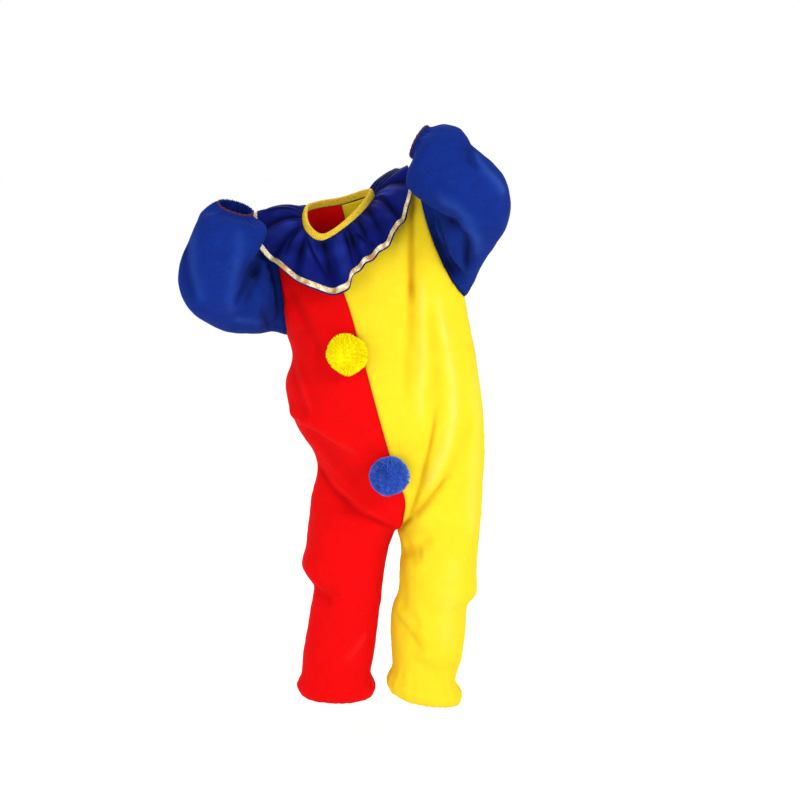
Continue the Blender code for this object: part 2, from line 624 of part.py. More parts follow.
def edge_shift(points, faces, unit, gap):
    """How far each edge point of a piece moves into the piece, and the piece's edges."""
    uses = {}
    for face in faces:
        centre = points[face].mean(axis=0)
        for k in range(len(face)):
            uses.setdefault(frozenset((face[k - 1], face[k])), []).append((face[k - 1], face[k], centre))
    edges = [found[0] for found in uses.values() if len(found) == 1]
    pulls = {}
    for a, b, centre in edges:
        run = (points[b] - points[a]) / np.linalg.norm(points[b] - points[a])
        into = centre - points[a]
        into = into - (into @ run) * run
        into /= np.linalg.norm(into)
        for v in (a, b):
            across = into - (into @ unit[v]) * unit[v]
            pulls.setdefault(v, []).append(across / max(np.linalg.norm(across), 0.2))
    shift = {}
    for v, (first, *rest) in pulls.items():
        second = rest[0] if rest else first
        shift[v] = (first + second) / max(1 + first @ second, 0.4) * gap
    return shift, [(a, b) for a, b, _ in edges]


def wall_object(name, points, faces, unit, mitre, thickness, gap, material):
    """A closed solid: the piece's outer faces, the same faces moved inwards, and the rim."""
    shift, rim = edge_shift(points, faces, unit, gap)
    used = sorted({v for face in faces for v in face})
    mesh = bmesh.new()
    outside, inside = {}, {}
    for v in used:
        place = points[v] + shift.get(v, 0)
        outside[v] = mesh.verts.new(place * MM)
        inside[v] = mesh.verts.new((place - unit[v] * thickness * mitre[v]) * MM)
    for face in faces:
        mesh.faces.new([outside[v] for v in face])
        mesh.faces.new([inside[v] for v in reversed(face)])
    for a, b in rim:
        # The same diagonal is cut in both pieces of a seam, so that their rims stay parallel.
        if a < b:
            mesh.faces.new([outside[b], outside[a], inside[b]])
            mesh.faces.new([outside[a], inside[a], inside[b]])
        else:
            mesh.faces.new([outside[b], outside[a], inside[a]])
            mesh.faces.new([outside[b], inside[a], inside[b]])
    return mesh_object(name, mesh, material)


def mesh_object(name, mesh, material):
    data = bpy.data.meshes.new(name)
    mesh.to_mesh(data)
    mesh.free()
    obj = bpy.data.objects.new(name, data)
    bpy.context.scene.collection.objects.link(obj)
    data.materials.append(material)
    return obj


def fabric(name, colour, roughness):
    material = bpy.data.materials.new(name)
    material.use_nodes = True
    shader = material.node_tree.nodes["Principled BSDF"]
    shader.inputs["Base Color"].default_value = (*colour, 1)
    shader.inputs["Roughness"].default_value = roughness
    return material


# ------------------------------------------------------------------ pieces
def body_and_sleeves():
    red = fabric("red fleece", (0.85, 0.01, 0.01), 0.9)
    yellow = fabric("yellow fleece", (0.95, 0.75, 0.01), 0.9)
    blue = fabric("blue fleece", (0.01, 0.04, 0.40), 0.9)
    shell = Shell()
    leg_places, torso_places = key_places((RIGHT_LEG, LEFT_LEG), ROW_SPACING)
    sides = (
        ("right", RIGHT_LEG, RIGHT_ARMHOLE, (6, 8, 4), RIGHT_SLEEVE, 1, red),
        ("left", LEFT_LEG, LEFT_ARMHOLE, (2, 0, 4), LEFT_SLEEVE, -1, yellow),
    )
    materials = {}
    for (side, leg, armhole, stations, rings, hand, colour), low in zip(sides, leg_places):
        places = low + [len(leg) - 1 + place for place in torso_places]
        front, back, armpit = body_half(
            side, leg, armhole, stations, places, PANEL_COLUMNS, SHOULDER_COLUMNS, ARMHOLE_ROWS
        )
        loop = np.concatenate([front[armpit:, 0], back[armpit + 1 : -1, 0][::-1]])
        sleeve = sleeve_grid(loop, armhole.away, rings, hand, ROW_SPACING)
        shell.add(f"front_{side}", front, flip=hand < 0)
        shell.add(f"back_{side}", back, flip=hand > 0)
        shell.add(f"sleeve_{side}", sleeve, closed=True, flip=hand < 0)
        materials[f"front_{side}"] = colour
        materials[f"back_{side}"] = colour
        materials[f"sleeve_{side}"] = blue
    shell.crease(FOLDS)
    shell.triangulate()
    points = np.array(shell.points)
    unit, mitre = shell.normals()
    for name, faces in shell.pieces.items():
        wall_object(name, points, faces, unit, mitre, FLEECE, SEAM_GAP / 2, materials[name])


def collar():
    grid = collar_grid(FLUTE_STEPS, COLLAR_ROWS)
    shell = Shell(weld=False)
    shell.add("ruffle_collar", grid, flip=True)
    shell.triangulate()
    unit, mitre = shell.normals()
    points = np.array(shell.points)
    wall_object(
        "ruffle_collar", points, shell.pieces["ruffle_collar"], unit, mitre, SATIN, SEAM_GAP, fabric("navy satin", (0.01, 0.02, 0.30), 0.4)
    )
    width = grid.shape[1]
    ribbon = Shell(weld=False)
    first, last = (len(COLLAR_ROWS) - 3) * width, (len(COLLAR_ROWS) - 1) * width
    lifted = points[first:last] + unit[first:last] * (RIBBON + SEAM_GAP + 0.1)
    ribbon.add("ruffle_trim", lifted.reshape(2, width, 3), flip=True)
    ribbon.triangulate()
    wall_object(
        "ruffle_trim",
        np.array(ribbon.points),
        ribbon.pieces["ruffle_trim"],
        unit[first:last],
        mitre[first:last],
        RIBBON,
        SEAM_GAP,
        fabric("gold ribbon", (0.80, 0.66, 0.38), 0.35),
    )


def neckband():
    rings = neckband_profiles(2)
    mesh = bmesh.new()
    rings = rings[:, :]
    loops = []
    last = rings.shape[1] - 1
    for k in range(rings.shape[1]):
        inward = 0.0
        if k in (0, last):
            step = rings[:, 1 if k == 0 else last - 1] - rings[:, k]
            inward = step / np.linalg.norm(step, axis=1)[:, None] * SEAM_GAP
        loops.append([mesh.verts.new(p * MM) for p in rings[:, k] + inward])
    count = len(loops[0])
    for low, high in zip(loops, loops[1:]):
        for i in range(count):
            j = (i + 1) % count
            mesh.faces.new([low[i], low[j], high[j], high[i]])
    mesh.faces.new(loops[0][::-1])
    mesh.faces.new(loops[-1])
    bmesh.ops.recalc_face_normals(mesh, faces=mesh.faces)
    mesh_object("neck_binding", mesh, fabric("yellow binding", (0.95, 0.75, 0.02), 0.8))


def pompom(spec):
    """A ball of yarn: a core with tapered locks drawn out of it."""
    mesh = bmesh.new()
    bmesh.ops.create_icosphere(mesh, subdivisions=3, radius=POMPOM_CORE * MM)
    faces = list(mesh.faces)
    golden = math.pi * (3 - math.sqrt(5))
    chosen = []
    for k in range(LOCKS):
        height = 1 - 2 * (k + 0.5) / LOCKS
        ring = math.sqrt(1 - height * height)
        aim = np.array([ring * math.cos(golden * k), ring * math.sin(golden * k), height])
        left = [f for f in faces if f not in chosen]
        chosen.append(max(left, key=lambda f: float(np.array(f.calc_center_median().normalized()) @ aim)))
    for k, face in enumerate(chosen):
        middle = face.calc_center_median()
        outward = middle.normalized()
        made = bmesh.ops.extrude_discrete_faces(mesh, faces=[face])["faces"][0]
        reach = POMPOM_RADIUS * MM * (0.94 + 0.08 * math.sin(k * 2.4))
        sway = outward.cross((math.sin(k * 1.7), math.cos(k * 2.9), math.sin(k * 0.9))) * 0.0012
        centre = made.calc_center_median()
        for vert in made.verts:
            vert.co = outward * reach + (vert.co - centre) * 0.42 + sway
    for vert in mesh.verts:
        if vert.co.y > 0.5 * POMPOM_BACK * MM:
            vert.co.y = 0.5 * POMPOM_BACK * MM + (vert.co.y - 0.5 * POMPOM_BACK * MM) * 0.55
        vert.co = vert.co + type(vert.co)(spec.middle) * MM
    bmesh.ops.recalc_face_normals(mesh, faces=mesh.faces)
    mesh_object(spec.name, mesh, fabric(f"{spec.name} yarn", spec.colour, 0.95))


def main():
    for obj in list(bpy.data.objects):
        bpy.data.objects.remove(obj)
    body_and_sleeves()
    collar()
    neckband()
    for spec in POMPOMS:
        pompom(spec)


main()
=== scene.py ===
# %% [markdown]
# # A toddler's clown jumpsuit
#
# The suit is cut from brushed fleece in red, yellow and blue, with a fluted satin collar, a gold
# ribbon along the collar's edge and two yarn pompoms. It is worn by a small child with both arms
# raised, so it is shown hollow in that pose. Each cell makes one piece or one finish.

import json
import math
from collections import namedtuple

import bmesh
import bpy
import numpy as np
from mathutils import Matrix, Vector, noise

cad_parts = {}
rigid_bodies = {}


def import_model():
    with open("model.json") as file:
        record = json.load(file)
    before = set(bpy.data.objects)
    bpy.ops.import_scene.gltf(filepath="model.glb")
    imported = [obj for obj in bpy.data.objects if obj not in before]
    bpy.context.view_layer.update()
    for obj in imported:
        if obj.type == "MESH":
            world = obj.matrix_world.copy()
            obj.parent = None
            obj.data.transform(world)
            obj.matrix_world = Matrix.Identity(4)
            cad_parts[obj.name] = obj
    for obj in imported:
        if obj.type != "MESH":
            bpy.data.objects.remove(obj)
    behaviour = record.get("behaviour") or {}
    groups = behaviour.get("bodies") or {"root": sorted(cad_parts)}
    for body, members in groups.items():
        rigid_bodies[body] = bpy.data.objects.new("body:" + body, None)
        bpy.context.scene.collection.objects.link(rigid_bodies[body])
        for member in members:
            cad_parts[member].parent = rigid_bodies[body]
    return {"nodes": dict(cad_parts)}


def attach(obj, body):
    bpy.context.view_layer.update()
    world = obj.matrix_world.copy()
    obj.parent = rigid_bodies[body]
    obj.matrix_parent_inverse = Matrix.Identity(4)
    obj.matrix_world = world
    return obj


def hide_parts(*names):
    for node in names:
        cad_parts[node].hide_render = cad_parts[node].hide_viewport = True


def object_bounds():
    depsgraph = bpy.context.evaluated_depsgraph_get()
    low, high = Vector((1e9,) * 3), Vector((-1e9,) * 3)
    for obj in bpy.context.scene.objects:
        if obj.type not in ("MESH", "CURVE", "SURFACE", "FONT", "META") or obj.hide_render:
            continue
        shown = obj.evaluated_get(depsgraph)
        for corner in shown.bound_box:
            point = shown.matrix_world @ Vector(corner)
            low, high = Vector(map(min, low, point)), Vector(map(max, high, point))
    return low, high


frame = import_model()
MM = 0.001
cad_box = [list(corner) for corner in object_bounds()]
print("solids:", len(frame["nodes"]), "box in metres:", cad_box)

# %% [markdown]
# ## Camera, floor and light
#
# A garment is shown from its own height with a long lens, so that its widths stay true. The camera
# stands 2.5 m away and looks down by 8 degrees. A pale floor and broad, soft lights keep the
# colours clean, with the brighter side at the right.

# %% Camera
LENS_HALF_ANGLE = math.radians(11.75)
LOOK_DOWN = math.radians(8)
LOOKED_AT = Vector((0.0808, 0.0, -0.2551))
CAMERA_DISTANCE = 2.5
SENSOR_WIDTH = 36


def added(name, data):
    """A new object in the scene."""
    made = bpy.data.objects.new(name, data)
    bpy.context.scene.collection.objects.link(made)
    return made


camera_data = bpy.data.cameras.new("camera")
camera_data.sensor_width = SENSOR_WIDTH
camera_data.lens = SENSOR_WIDTH / 2 / math.tan(LENS_HALF_ANGLE)
camera = added("camera", camera_data)
forward = Vector((0, math.cos(LOOK_DOWN), -math.sin(LOOK_DOWN)))
camera.location = LOOKED_AT - forward * CAMERA_DISTANCE
camera.rotation_euler = (math.pi / 2 - LOOK_DOWN, 0, 0)
bpy.context.scene.camera = camera
bpy.context.scene.view_settings.view_transform = "Standard"
print(f"camera lens {camera_data.lens:.1f} mm")

# %% [markdown]
# Colours are written as the hex values that an artist would pick, and one function turns them
# into the linear values that a shader needs. One other function adds a node to a material.


# %% Colour and node helpers
def colour(code):
    """Linear RGBA from an sRGB hex value such as "#e01010"."""
    parts = [int(code[i : i + 2], 16) / 255 for i in (1, 3, 5)]
    return (*[c / 12.92 if c <= 0.04045 else ((c + 0.055) / 1.055) ** 2.4 for c in parts], 1.0)


def node(tree, kind, inputs=None, **settings):
    """A node with its settings; an input takes a value, or another node's socket as a link."""
    made = tree.nodes.new(kind)
    for name, value in settings.items():
        setattr(made, name, value)
    for name, value in (inputs or {}).items():
        if isinstance(value, bpy.types.NodeSocket):
            tree.links.new(value, made.inputs[name])
        else:
            made.inputs[name].default_value = value
    return made


def new_material(name, **sockets):
    """(material, node tree, shader), with the shader's constant values set on its own sockets."""
    material = bpy.data.materials.new(name)
    material.use_nodes = True
    shader = material.node_tree.nodes["Principled BSDF"]
    for socket, value in sockets.items():
        shader.inputs[socket.replace("_", " ")].default_value = value
    return material, material.node_tree, shader


def paint_shade_and_highlight(tree, shader, tone, deep, pale):
    """Colours the shader with the tone, with painted shade in a hollow and a painted highlight on a ridge."""
    painted_shading = node(tree, "ShaderNodeAttribute", attribute_name="painted_shading").outputs["Fac"]
    ridge = node(tree, "ShaderNodeMath", {0: painted_shading, 1: -1.0}, operation="MULTIPLY").outputs["Value"]
    for share, reached in ((painted_shading, deep), (ridge, pale)):
        mix = node(tree, "ShaderNodeMix", {"Factor": share, 6: tone, 7: colour(reached)}, data_type="RGBA")
        tone = mix.outputs[2]
    tree.links.new(tone, shader.inputs["Base Color"])


# %% Floor
FLOOR_RADIUS = 30
FLOOR_BELOW = 0.07  # metres from the suit down to the floor


def shown(name, mesh, material):
    """An object made from a bmesh, which is used up, with its material."""
    data = bpy.data.meshes.new(name)
    mesh.to_mesh(data)
    mesh.free()
    data.materials.append(material)
    return added(name, data)


white = colour("#ffffff")
floor_mesh = bmesh.new()
bmesh.ops.create_circle(floor_mesh, cap_ends=True, segments=64, radius=FLOOR_RADIUS)
bmesh.ops.translate(floor_mesh, verts=floor_mesh.verts, vec=(0, 0, cad_box[0][2] - FLOOR_BELOW))
floor_finish = new_material("pale studio floor", Base_Color=white, Roughness=0.9)[0]
floor = shown("floor", floor_mesh, floor_finish)
print("floor below the suit:", FLOOR_BELOW, "m")

# %% Lights
world = bpy.data.worlds.new("studio")
world.use_nodes = True
sky = world.node_tree.nodes["Background"]
sky.inputs["Color"].default_value = white
sky.inputs["Strength"].default_value = 1.0
bpy.context.scene.world = world
Lamp = namedtuple("Lamp", "name place size watts")
LAMPS = (
    Lamp("key", (1.8, -2.0, 0.9), 1.0, 39),
    Lamp("fill", (-1.1, -2.3, -0.3), 1.6, 24),
    Lamp("back", (-0.6, 1.9, 1.4), 1.2, 16),
)
LIT_POINT = Vector((0.05, 0, -0.25))
for lamp in LAMPS:
    lamp_data = bpy.data.lights.new(lamp.name, "AREA")
    lamp_data.size = lamp.size
    lamp_data.energy = lamp.watts
    light = added(lamp.name, lamp_data)
    light.location = lamp.place
    light.rotation_euler = (LIT_POINT - light.location).to_track_quat("-Z", "Y").to_euler()
print("lights:", [lamp.name for lamp in LAMPS])

# %% [markdown]
# ## Fleece
#
# The body and sleeves are brushed polyester knit: its face is teased into a short nap that hides
# the stitches. It has no gloss, only a soft rim of light where the nap is seen from the side, and
# faint patches where the nap lies another way. It could be grown as hair, but so much cloth would
# be heavy, so two noises of real sizes break up its colour and raise its surface. Real fibres are
# far finer than a pixel, so the nap is drawn as 2 mm clumps.

# %% Fleece material
# A pattern is a noise of a real size: it lets an amount of the shade in where the noise goes from
# low to high, and its bump raises the surface by up to its height. Sizes are in millimetres.
Pattern = namedtuple("Pattern", "size detail roughness distortion low high amount bump height")
NAP_PATCH = 16.0
NAP_CLUMP = 2.0
NAP = (
    Pattern(NAP_PATCH, 2.0, 0.5, 0.6, 0.35, 0.7, 0.3, 0.35, 1.4),
    Pattern(NAP_CLUMP, 3.0, 0.6, 0.0, 0.35, 0.65, 0.4, 0.45, 0.6),
)


def patterned(name, face, shade, patterns, deep="#000000", pale="#ffffff", **sockets):
    """A material whose face colour and surface are broken up by patterns."""
    material, tree, shader = new_material(name, **sockets)
    place = node(tree, "ShaderNodeTexCoord").outputs["Object"]
    amount, below = 0.0, {}
    for pattern in patterns:
        grain = {"Detail": pattern.detail, "Roughness": pattern.roughness, "Distortion": pattern.distortion}
        scale = 1 / (pattern.size * MM)
        swell = node(tree, "ShaderNodeTexNoise", {"Vector": place, "Scale": scale, **grain}).outputs["Fac"]
        ends = {"From Min": pattern.low, "From Max": pattern.high, "To Max": pattern.amount}
        share = node(tree, "ShaderNodeMapRange", {"Value": swell, **ends}).outputs["Result"]
        amount = node(tree, "ShaderNodeMath", {0: amount, 1: share}, operation="ADD").outputs["Value"]
        raised = {"Height": swell, "Strength": pattern.bump, "Distance": pattern.height * MM}
        below = {"Normal": node(tree, "ShaderNodeBump", {**raised, **below}).outputs["Normal"]}
    tones = {"Factor": amount, 6: colour(face), 7: colour(shade)}
    mixed = node(tree, "ShaderNodeMix", tones, data_type="RGBA")
    # Painted shade in the deep colour and painted highlights in the pale one, where the cloth's attribute
    # asks.
    paint_shade_and_highlight(tree, shader, mixed.outputs[2], deep, pale)
    tree.links.new(below["Normal"], shader.inputs["Normal"])
    return material


def fleece(name, face, shade, deep, pale):
    """Brushed knit, whose sheen has the colour of its face."""
    nap = {"Roughness": 0.92, "Sheen_Weight": 0.25, "Sheen_Roughness": 0.45, "Specular_IOR_Level": 0.06}
    return patterned(name, face, shade, NAP, deep, pale, Sheen_Tint=colour(face), **nap)


# The last two colours of a fleece are painted: shade in its creases and seam grooves, and a highlight on its
# ridges.
red_fleece = fleece("red brushed fleece", "#d20406", "#bd0405", "#890205", "#d5322d")
yellow_fleece = fleece("yellow brushed fleece", "#dcc424", "#d8b81a", "#ac7500", "#e0da94")
blue_fleece = fleece("royal blue brushed fleece", "#0c287a", "#081957", "#03092d", "#3f6cc6")
print("fleece: nap clumps of", NAP_CLUMP, "mm")

# %% [markdown]
# ## Satin, ribbon, rib knit and yarn
#
# The collar is a thin polyester satin: a broad soft gloss, not a mirror. Its trim is a lamé ribbon,
# whose flat metal threads alternate with dark ones. The neck binding is a fine rib knit, and the
# pompoms are acrylic yarn, with painted shade at the roots and paler tips. The threads are too fine
# to draw one by one, so each cloth is its face colour broken by specks of a millimetre or two.


# %% Other materials
def specks(size, amount, bump=0.3):
    """One pattern of specks, whose height is three tenths of their size."""
    return (Pattern(size, 2.0, 0.5, 0.0, 0.4, 0.62, amount, bump, size * 0.3),)


def yarn(name, tip, root):
    """Spun acrylic, paler from its root to its tip: painted shade at the root, deep in the ball."""
    nap = {"Roughness": 0.9, "Sheen_Weight": 0.12, "Sheen_Roughness": 0.5, "Specular_IOR_Level": 0.06}
    material, tree, shader = new_material(name, Sheen_Tint=colour(tip), **nap)
    shade = node(tree, "ShaderNodeAttribute", attribute_name="shade").outputs["Fac"]
    mixed = node(tree, "ShaderNodeMix", {"Factor": shade, 6: colour(root), 7: colour(tip)}, data_type="RGBA")
    tree.links.new(mixed.outputs[2], shader.inputs["Base Color"])
    return material


# The last two colours below are painted light: shade in the satin's flutes and sheen on their ridges,
# reflections on the ribbon, and shade at the foot of the rib binding.
satin_gloss = {"Roughness": 0.6, "Specular_IOR_Level": 0.03}
lame_gloss = {"Roughness": 0.38, "Metallic": 0.12}
navy_satin = patterned(
    "navy satin", "#0a1460", "#060d4a", specks(1.2, 0.5, 0.12), "#000216", "#1f318a", **satin_gloss
)
gold_lame = patterned(
    "gold lame ribbon", "#ddd2a6", "#7d5c2c", specks(1.6, 0.7, 0.8), "#a8722f", "#fff6dd", **lame_gloss
)
yellow_rib = patterned(
    "yellow rib knit", "#d5b617", "#a37b0e", specks(1.6, 0.6, 0.5), "#5a4408", Roughness=0.85
)
maroon_thread = patterned("maroon overlock thread", "#5c1420", "#3a0c14", specks(0.8, 0.5), Roughness=0.8)
yellow_yarn = yarn("yellow yarn", "#f8f20c", "#e8d404")
blue_yarn = yarn("blue yarn", "#4d7adc", "#203a9a")
print("materials:", len(bpy.data.materials))

# %% [markdown]
# ## The cut of the body
#
# Two colours meet on the centre line, and each half has a front and a back panel that run from the
# shoulder to the ankle. A panel is set out as sections: rings round the torso that pass through
# four seams, and rings round each leg. A simulation would hang the cloth its own way, but rows of
# measured levels keep every width where it is on the suit. Sizes are in millimetres, with +X to the
# wearer's left and -Y to the front.

# %% Levels of the body
TorsoLevel = namedtuple("TorsoLevel", "name right left front back")
TORSO = [TorsoLevel(*row) for row in (
    ("seat", (-37, 4, -384), (189, -4, -374), (87, -60, -374), (80, 68, -372)),
    ("hip", (-28, 8, -336), (190, -8, -322), (73, -71, -334), (79, 72, -328)),
    ("belly", (-56, 12, -286), (188, -10, -266), (59, -77, -284), (73, 68, -278)),
    ("waist", (-68, 14, -238), (181, -12, -212), (45, -76, -232), (63, 63, -226)),
    ("ribs", (-60, 15, -200), (173, -11, -166), (33, -71, -187), (51, 61, -182)),
    ("armpit", (-66, 15, -173), (164, -10, -120), (22, -66, -147), (38, 60, -142)),
)]
CROTCH = (76, 4, -425)
CROTCH_CALM = 50.0  # folds fade out nearer than this to the crotch

# Each level of a leg is a ring from the outseam to the inseam.
LegLevel = namedtuple("LegLevel", "name outseam outseam_z inseam inseam_z middle_y depth")
RIGHT_LEG = [LegLevel(*row) for row in (
    ("thigh", -44, -450, 67, -448, 4, 57),
    ("above knee", -48, -475, 62, -474, 2, 54),
    ("knee", -34, -500, 58, -502, 0, 50),
    ("below knee", -38, -532, 54, -530, 2, 48),
    ("calf", -43, -562, 50, -562, 5, 47),
    ("ankle", -48, -596, 46, -596, 6, 46),
    ("above roll", -50, -621, 43, -621, 5, 45),
    ("roll", -56, -636, 49, -638, 3, 51),
    ("roll foot", -51, -648, 45, -650, 3, 47),
    ("turn under", -43, -651, 37, -653, 3, 39),
    ("elastic", -37, -643, 31, -643, 4, 34),
)]
LEFT_LEG = [LegLevel(*row) for row in (
    ("thigh", 184, -450, 82, -448, -2, 57),
    ("above knee", 182, -477, 80, -474, -5, 55),
    ("knee", 181, -508, 79, -504, -6, 52),
    ("below knee", 170, -526, 71, -532, -3, 49),
    ("calf", 168, -562, 69, -562, 1, 48),
    ("ankle", 163, -598, 70, -592, 3, 47),
    ("above roll", 154, -631, 70, -613, 2, 45),
    ("roll", 163, -648, 63, -628, 0, 51),
    ("roll foot", 160, -661, 68, -643, 0, 47),
    ("turn under", 150, -663, 76, -648, 0, 39),
    ("elastic", 144, -655, 82, -641, 1, 34),
)]
print("levels of the torso:", len(TORSO), "and of each leg:", len(RIGHT_LEG))

# %% Neckline and armholes
Station = namedtuple("Station", "name x y z")
NECK = [Station(*row) for row in (
    ("front", -15, -48, -47),
    ("front left", 22, -38, -22),
    ("left", 46, -6, 5),
    ("back left", 38, 26, 6),
    ("back", 5, 38, -4),
    ("back right", -28, 27, -9),
    ("right", -42, -4, -15),
    ("front right", -37, -34, -36),
)]
NECK_TOWARDS = (5, 0, 120)  # the neckband leans to this point
NECKBAND_HEIGHT = 9.5

Armhole = namedtuple("Armhole", "tip front_low front_high back_low back_high away")
RIGHT_ARMHOLE = Armhole(
    (-86, 0, -42), (-66, -40, -150), (-72, -50, -60), (-70, 62, -150), (-84, 52, -60), (-0.97, -0.20, 0.10)
)
LEFT_ARMHOLE = Armhole(
    (106, 0, 32), (139, -64, -95), (99, -64, 0), (152, 48, -95), (108, 54, 0), (0.90, -0.30, 0.30)
)
print("stations of the neckline:", [station.name for station in NECK])

# %% [markdown]
# ## Smooth lines through the levels
#
# A tailor's curve passes through measured points without a corner. The same is done here: a smooth
# line through the rows of a table gives every section in between. Blender's own curves could do it
# too, but a short function keeps the points in arrays, which the later cells can move.

# %% Lines
SAMPLES = np.linspace(0, 1, 60)  # places on a curved line, before it is cut into even steps


def positions(table):
    """The x, y and z of every row of a table."""
    return np.array([(row.x, row.y, row.z) for row in table], float)


def through(keys, at, closed=False):
    """Points at the places `at` along a smooth line through the rows of `keys`.

    Place 0 is the first row and place 1 the second; a closed line returns to the first.
    """
    keys = np.asarray(keys, float)
    count = len(keys)
    at = np.asarray(at, float)
    last = count if closed else count - 1
    low = np.clip(np.floor(at).astype(int), 0, last - 1)
    share = (at - low).reshape((-1,) + (1,) * (keys.ndim - 1))

    def key(index):
        return keys[index % count] if closed else keys[np.clip(index, 0, count - 1)]

    before, start, end, after = (key(low + step) for step in (-1, 0, 1, 2))
    leave = (end - before) / 2
    arrive = (after - start) / 2
    square, cube = share**2, share**3
    return (
        (2 * cube - 3 * square + 1) * start
        + (cube - 2 * square + share) * leave
        + (3 * square - 2 * cube) * end
        + (cube - square) * arrive
    )


def bezier(a, b, c, d, at):
    """A cubic line from a to d, pulled towards b and c."""
    t = np.asarray(at, float)[:, None]
    u = 1 - t
    return u**3 * np.array(a) + 3 * u * u * t * np.array(b) + 3 * u * t * t * np.array(c) + t**3 * np.array(d)


def evenly(line, count, lean=0.0):
    """The line again, as count + 1 points at equal steps along it, or leaning to its end."""
    steps = np.linalg.norm(np.diff(line, axis=0), axis=1)
    along = np.concatenate([[0], np.cumsum(steps)])
    at = np.linspace(0, 1, count + 1)
    at = (at + lean * at * (1 - at)) * along[-1]
    return np.stack([np.interp(at, along, line[:, k]) for k in range(3)], axis=1)


def ease(share):
    """From 0 to 1 with a soft start and a soft end."""
    return share * share * (3 - 2 * share)


# %% Sections of one half of the body
TORSO_LEAN = (0.35, 0.25, 0.12, 0, 0, 0)  # at each level of the torso
SEAT_LEAN = 0.35
SEAT_FULLNESS = 0.96  # depth of the seat, as a share of the way out to its seams
SIDE_DROP = 0.72  # share of the way from the seat to the thigh that the side seam has gone


def half_keys(side, leg):
    """Key sections of one half, from the ankle up: side seam, inner seams, turn, depths and lean.

    The turn is the angle that a section sweeps, 180 degrees round half a leg and 90 degrees
    over a quarter of the torso. The lean slides the columns towards the inner seam above the
    crotch, so that they run on into the leg.
    """
    rows = []
    for level in reversed(leg):
        outer = (level.outseam, level.middle_y, level.outseam_z)
        inner = (level.inseam, level.middle_y, level.inseam_z)
        rows.append((outer, inner, inner, 180, level.depth, level.depth, 0))
    seat = TORSO[0]
    seat_side = np.array(getattr(seat, side), float)
    thigh_side = np.array(rows[-1][0], float)
    for quarter in (3, 2, 1):
        turned = quarter / 3
        bend = math.radians(90 * turned)
        drop = np.array([turned**2, 1 - math.cos(bend), math.sin(bend)])
        outer = seat_side + (thigh_side - seat_side) * turned * SIDE_DROP
        seams = [np.array(seam, float) for seam in (seat.front, seat.back)]
        front, back = (seam + (np.array(CROTCH) - seam) * drop for seam in seams)
        depth = [abs(outer[1] - seam[1]) * SEAT_FULLNESS for seam in seams]
        rows.append((outer, front, back, 90 + 90 * turned, *depth, SEAT_LEAN * (1 - turned**3)))
    for level, lean in zip(TORSO, TORSO_LEAN):
        outer = np.array(getattr(level, side), float)
        depths = (outer[1] - level.front[1], level.back[1] - outer[1])
        rows.append((outer, level.front, level.back, 90, *depths, lean))
    return rows


# %% Places of the rows
def steps_between(index, distance, spacing):
    """Places after a key section, up to the next one, about `spacing` apart."""
    parts = max(1, round(distance / spacing))
    return [index + (part + 1) / parts for part in range(parts)]


def key_places(legs, spacing):
    """(places of each leg's rows, places of the torso's rows), about `spacing` apart.

    Places are counted in key sections from the ankle. The torso's rows meet at the centre
    seams, so both halves share them.
    """
    leg_places = []
    for leg in legs:
        rows = [0.0]
        for index, (low, high) in enumerate(zip(leg[::-1], leg[-2::-1])):
            rows += steps_between(index, abs(high.outseam_z - low.outseam_z), spacing)
        leg_places.append(rows)
    torso_places = [1.0, 2.0, 3.0, 4.0]
    for index, (low, high) in enumerate(zip(TORSO, TORSO[1:])):
        rise = np.linalg.norm(np.array(high.front) - np.array(low.front))
        torso_places += steps_between(4 + index, rise, spacing)
    return leg_places, torso_places


# %% Rows from the ankle to the armpit
def arc(outer, inner, turn, depth, lean, forward, columns):
    """A section from the side seam to an inner seam, as part of an ellipse.

    forward is -1 for a front panel and +1 for a back one.
    """
    angle = math.radians(turn)
    pull = 4 / 3 * math.tan(angle / 4)
    half_width = (inner[0] - outer[0]) / (1 - math.cos(angle))
    rise = (inner[2] - outer[2]) / 3
    leave = np.array([0, forward * depth * pull, rise * 0.5])
    arrive = np.array([half_width * math.sin(angle), forward * depth * math.cos(angle), 0]) * pull
    line = bezier(outer, outer + leave, inner - arrive, inner, SAMPLES)
    return evenly(line, columns, lean)


def lower_rows(side, leg, places, columns):
    """(front rows, back rows) of one half, from the ankle to the armpit."""
    keys = half_keys(side, leg)
    outer, front, back, turn, *depths, lean = (through([key[i] for key in keys], places) for i in range(7))
    crotch_row = list(places).index(float(len(leg)))
    turn[: crotch_row + 1] = 180
    turn = np.clip(turn, 90, 180)
    back[: crotch_row + 1] = front[: crotch_row + 1]
    sides = zip((front, back), depths, (-1, 1))
    return [
        np.array([arc(*row, forward, columns) for row in zip(outer, inner, turn, depth, lean)])
        for inner, depth, forward in sides
    ]


# %% Neckline and centre seam
SEAM_RUN_ON = 0.35  # how far the centre seam holds its direction, as a share of its reach


def neck_line(start, end, count):
    """Points of the neck opening between two places counted in its stations."""
    at = np.linspace(start, end, len(SAMPLES)) % len(NECK)
    return evenly(through(positions(NECK), at, closed=True), count)


def seam_above(seam, end, rows):
    """The centre seam from the armpit level to the neck, leaving along the seam below."""
    armpit, ribs = (np.array(getattr(level, seam), float) for level in (TORSO[-1], TORSO[-2]))
    reach = np.linalg.norm(end - armpit)
    leave = (armpit - ribs) / np.linalg.norm(armpit - ribs) * reach * SEAM_RUN_ON
    arrive = (end - armpit) * SEAM_RUN_ON
    return evenly(bezier(armpit, armpit + leave, end - arrive, end, SAMPLES), rows)


